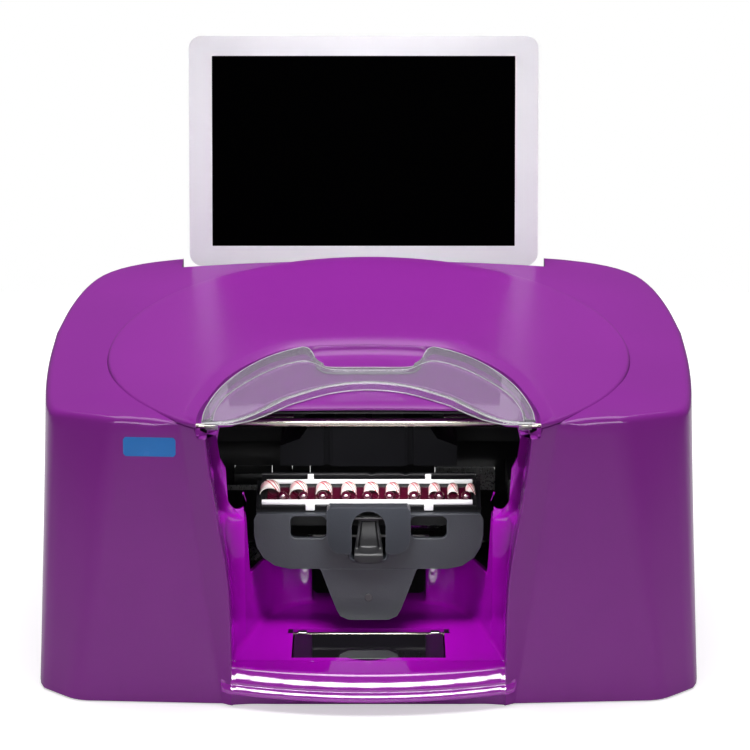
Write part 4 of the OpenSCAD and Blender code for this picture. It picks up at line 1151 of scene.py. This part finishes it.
def makeTips():
    # arched tips that stand open to the front and close towards the rear
    bm = bmesh.new()
    layer = bm.loops.layers.uv.new("tip")
    rings, turns = 10, 16
    for x, w in tips.items():
        before = set(bm.faces)
        rows = []
        for t in shares(rings, 0):
            r = w / 2 * math.sqrt(max(0.02, 1 - max(0.0, (t - 0.55) / 0.47) ** 2))
            h = r * mix(0.86, 1.0, ease(t * 2))
            rows.append([onBed(x - r * math.cos(math.pi * i / turns), mix(tip["front"], tip["rear"], t),
                               tip["foot"] + h * math.sin(math.pi * i / turns)) for i in range(turns + 1)])
        loft(bm, rows)
        for face in (f for f in bm.faces if f not in before):
            for corner in face.loops:
                p = corner.vert.co
                local = Vector((p.x / mm - x, (p.y / mm - seatY - bed["y"]) * math.cos(bed["tilt"])
                                + (p.z / mm - bed["z"]) * math.sin(bed["tilt"])))
                corner[layer].uv = (0.5 + local.x / w, (local.y - tip["front"]) / (tip["rear"] - tip["front"]))
    piece = putPiece(bm, "nail_tip_arches", "nail_cassette", nailArt, ("nail_tips",), 60)
    return addWall(piece, tip["wall"])


makeTips()

backWall = dict(front=26.6, rear=28.6, low=-4.9, top=3.2)


def makeBackWall():
    # the cassette's low wall behind the rear rail, with two finger dents in its upper edge
    bm = bmesh.new()
    rows = []
    front, rear, low = backWall["front"], backWall["rear"], backWall["low"]
    for x in [mix(-70, 70, t) for t in shares(96, 0)]:
        top = backWall["top"] - 1.1 * sum(ease(1 - abs(x - dent) / 3.2) for dent in (2, 24))
        rows.append([onBed(x, y, z) for y, z in ((front, low), (front, top - 0.5), (front + 0.3, top),
                                                 (rear - 0.3, top), (rear, top - 0.5), (rear, low))])
    loft(bm, rows, closed=True)
    ends = [e for e in bm.edges if len(e.link_faces) == 1]
    bmesh.ops.holes_fill(bm, edges=ends, sides=0)
    return putPiece(bm, "cassette_back_wall", "nail_cassette", black, (), 30)


makeBackWall()


def makeRods():
    pinSteel = {"lever_pin": blackSteel}
    for node, body, radius, start, end in (
            ("front_bar", "machine", 3.0, (-150, 96, 160), (150, 96, 160)),
            ("carriage_rod", "machine", 4.0, (-150, 156, 146), (150, 156, 146)),
            ("lid_rod", "machine", 1.5, (-51.5, 75.5, 21), (51.5, 75.5, 21)),
            ("screen_pin", "machine", 2.0, (screenX - 39, 338, 214.3), (screenX + 39, 338, 214.3)),
            ("lever_pin", "platform", 1.2, (-18, 66, 104), (18, 66, 104))):
        finish = pinSteel.get(node, brightSteel)
        makeRod(node + "_turned", body, finish, radius, start, end, (node,))
    for side, hand in ((-1, "left"), (1, "right")):
        makeRod("visor_pin_" + hand, "machine", brightSteel, visor["pinR"], (side * 95.5, *hinge),
                (side * 110.0, *hinge), ("visor_pins",))
        makeRod("platform_rod_" + hand, "platform", brightSteel, 4.0, (side * 62, 74, 84), (side * 62, 184, 84),
                ("platform_rods",))


makeRods()
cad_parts["feed_strip"].data.materials.clear()
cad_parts["feed_strip"].data.materials.append(plainSteel)
print("small parts made")


# floor, light and camera

ground = dict(half=1.15, y=-0.2, tint=(0.75, 0.75, 0.75), lift=0.5)   # the lift shows to the camera only


def makeStage():
    bm = bmesh.new()
    bmesh.ops.create_grid(bm, x_segments=2, y_segments=2, size=ground["half"])
    bmesh.ops.translate(bm, vec=(0, ground["y"], 0), verts=bm.verts)
    mesh = bpy.data.meshes.new("floor")
    bm.to_mesh(mesh)
    bm.free()
    floor = bpy.data.objects.new("floor", mesh)
    bpy.context.scene.collection.objects.link(floor)
    material, tree, shader = newFinish("paleFloor", ground["tint"], Roughness=0.6, Specular_IOR_Level=0.1,
                                       Emission_Color=(1, 1, 1, 1))
    seen = addNode(tree, "LightPath")
    lift = addNode(tree, "Math", {1: ground["lift"]}, operation="MULTIPLY")
    tree.links.new(seen.outputs["Is Camera Ray"], lift.inputs[0])
    tree.links.new(lift.outputs[0], shader.inputs["Emission Strength"])
    mesh.materials.append(material)


makeStage()

# strength of the studio's fill and of the white that the camera sees
studio = dict(fill=0.12, backdrop=1.0)
world = bpy.data.worlds.new("studio")
bpy.context.scene.world = world
world.use_nodes = True
tree = world.node_tree
background = tree.nodes["Background"]
background.inputs["Color"].default_value = (1, 1, 1, 1)
background.inputs["Strength"].default_value = studio["fill"]
backdrop = addNode(tree, "Background", {"Color": (1, 1, 1, 1), "Strength": studio["backdrop"]})
rays = addNode(tree, "LightPath")
choose = addNode(tree, "MixShader")
tree.links.new(rays.outputs["Is Camera Ray"], choose.inputs[0])
tree.links.new(background.outputs[0], choose.inputs[1])
tree.links.new(backdrop.outputs[0], choose.inputs[2])
tree.links.new(choose.outputs[0], tree.nodes["World Output"].inputs["Surface"])


def softbox(name, where, target, width, height, power, spread=180, glossOnly=False, noGloss=False):
    light = bpy.data.lights.new(name, "AREA")
    light.shape = "RECTANGLE"
    light.size, light.size_y = width, height
    light.energy = power
    light.spread = math.radians(spread)
    holder = bpy.data.objects.new(name, light)
    bpy.context.scene.collection.objects.link(holder)
    holder.location = where
    holder.rotation_euler = (Vector(target) - Vector(where)).to_track_quat("-Z", "Y").to_euler()
    holder.visible_camera = False
    if glossOnly:
        holder.visible_diffuse = False
    if noGloss:
        holder.visible_glossy = False


# place, target, width, height and watts, then the beam's spread in degrees
softbox("topBox", (0, 0.1, 1.9), (0, 0, 0), 2.2, 1.6, 47)
softbox("frontBox", (0, -2.3, 1.2), (0, 0, 0.1), 2.4, 1.0, 8, noGloss=True)
softbox("screenBox", (0, -1.3, 0.8), (0, 0.16, 0.30), 0.3, 0.2, 0.13, 14, noGloss=True)   # lifts the white frame
softbox("bayBox", place(0, 14, 177), place(0, 84, 90), 0.10, 0.03, 0.115, 100)
arc = dict(count=9, step=10.5, radius=1.6, height=0.58, sillY=-0.19)
# an arc of panels for the sill's gloss; seen low from behind they burn the top out
for k in range(arc["count"]):
    turn = math.radians(arc["step"] * (k - arc["count"] // 2))
    stand = (arc["radius"] * math.sin(turn), arc["sillY"] - arc["radius"] * math.cos(turn), arc["height"])
    softbox("arcBox" + str(k), stand, (0, arc["sillY"], 0.0), 0.34, 0.7, 0.16, 17, glossOnly=True)

camera = bpy.data.objects.new("camera", bpy.data.cameras.new("camera"))
bpy.context.scene.collection.objects.link(camera)
bpy.context.scene.camera = camera
# fitted to the photo
view = dict(lens=151.2, sensor=36, x=4.127, y=-1877.5, z=720.6, tilt=75)
camera.data.lens = view["lens"]
camera.data.sensor_width = view["sensor"]
camera.location = place(view["x"], view["y"], view["z"])
camera.rotation_euler = (math.radians(view["tilt"]), 0, 0)

scene = bpy.context.scene
scene.view_settings.view_transform = "Standard"


print("scene made")
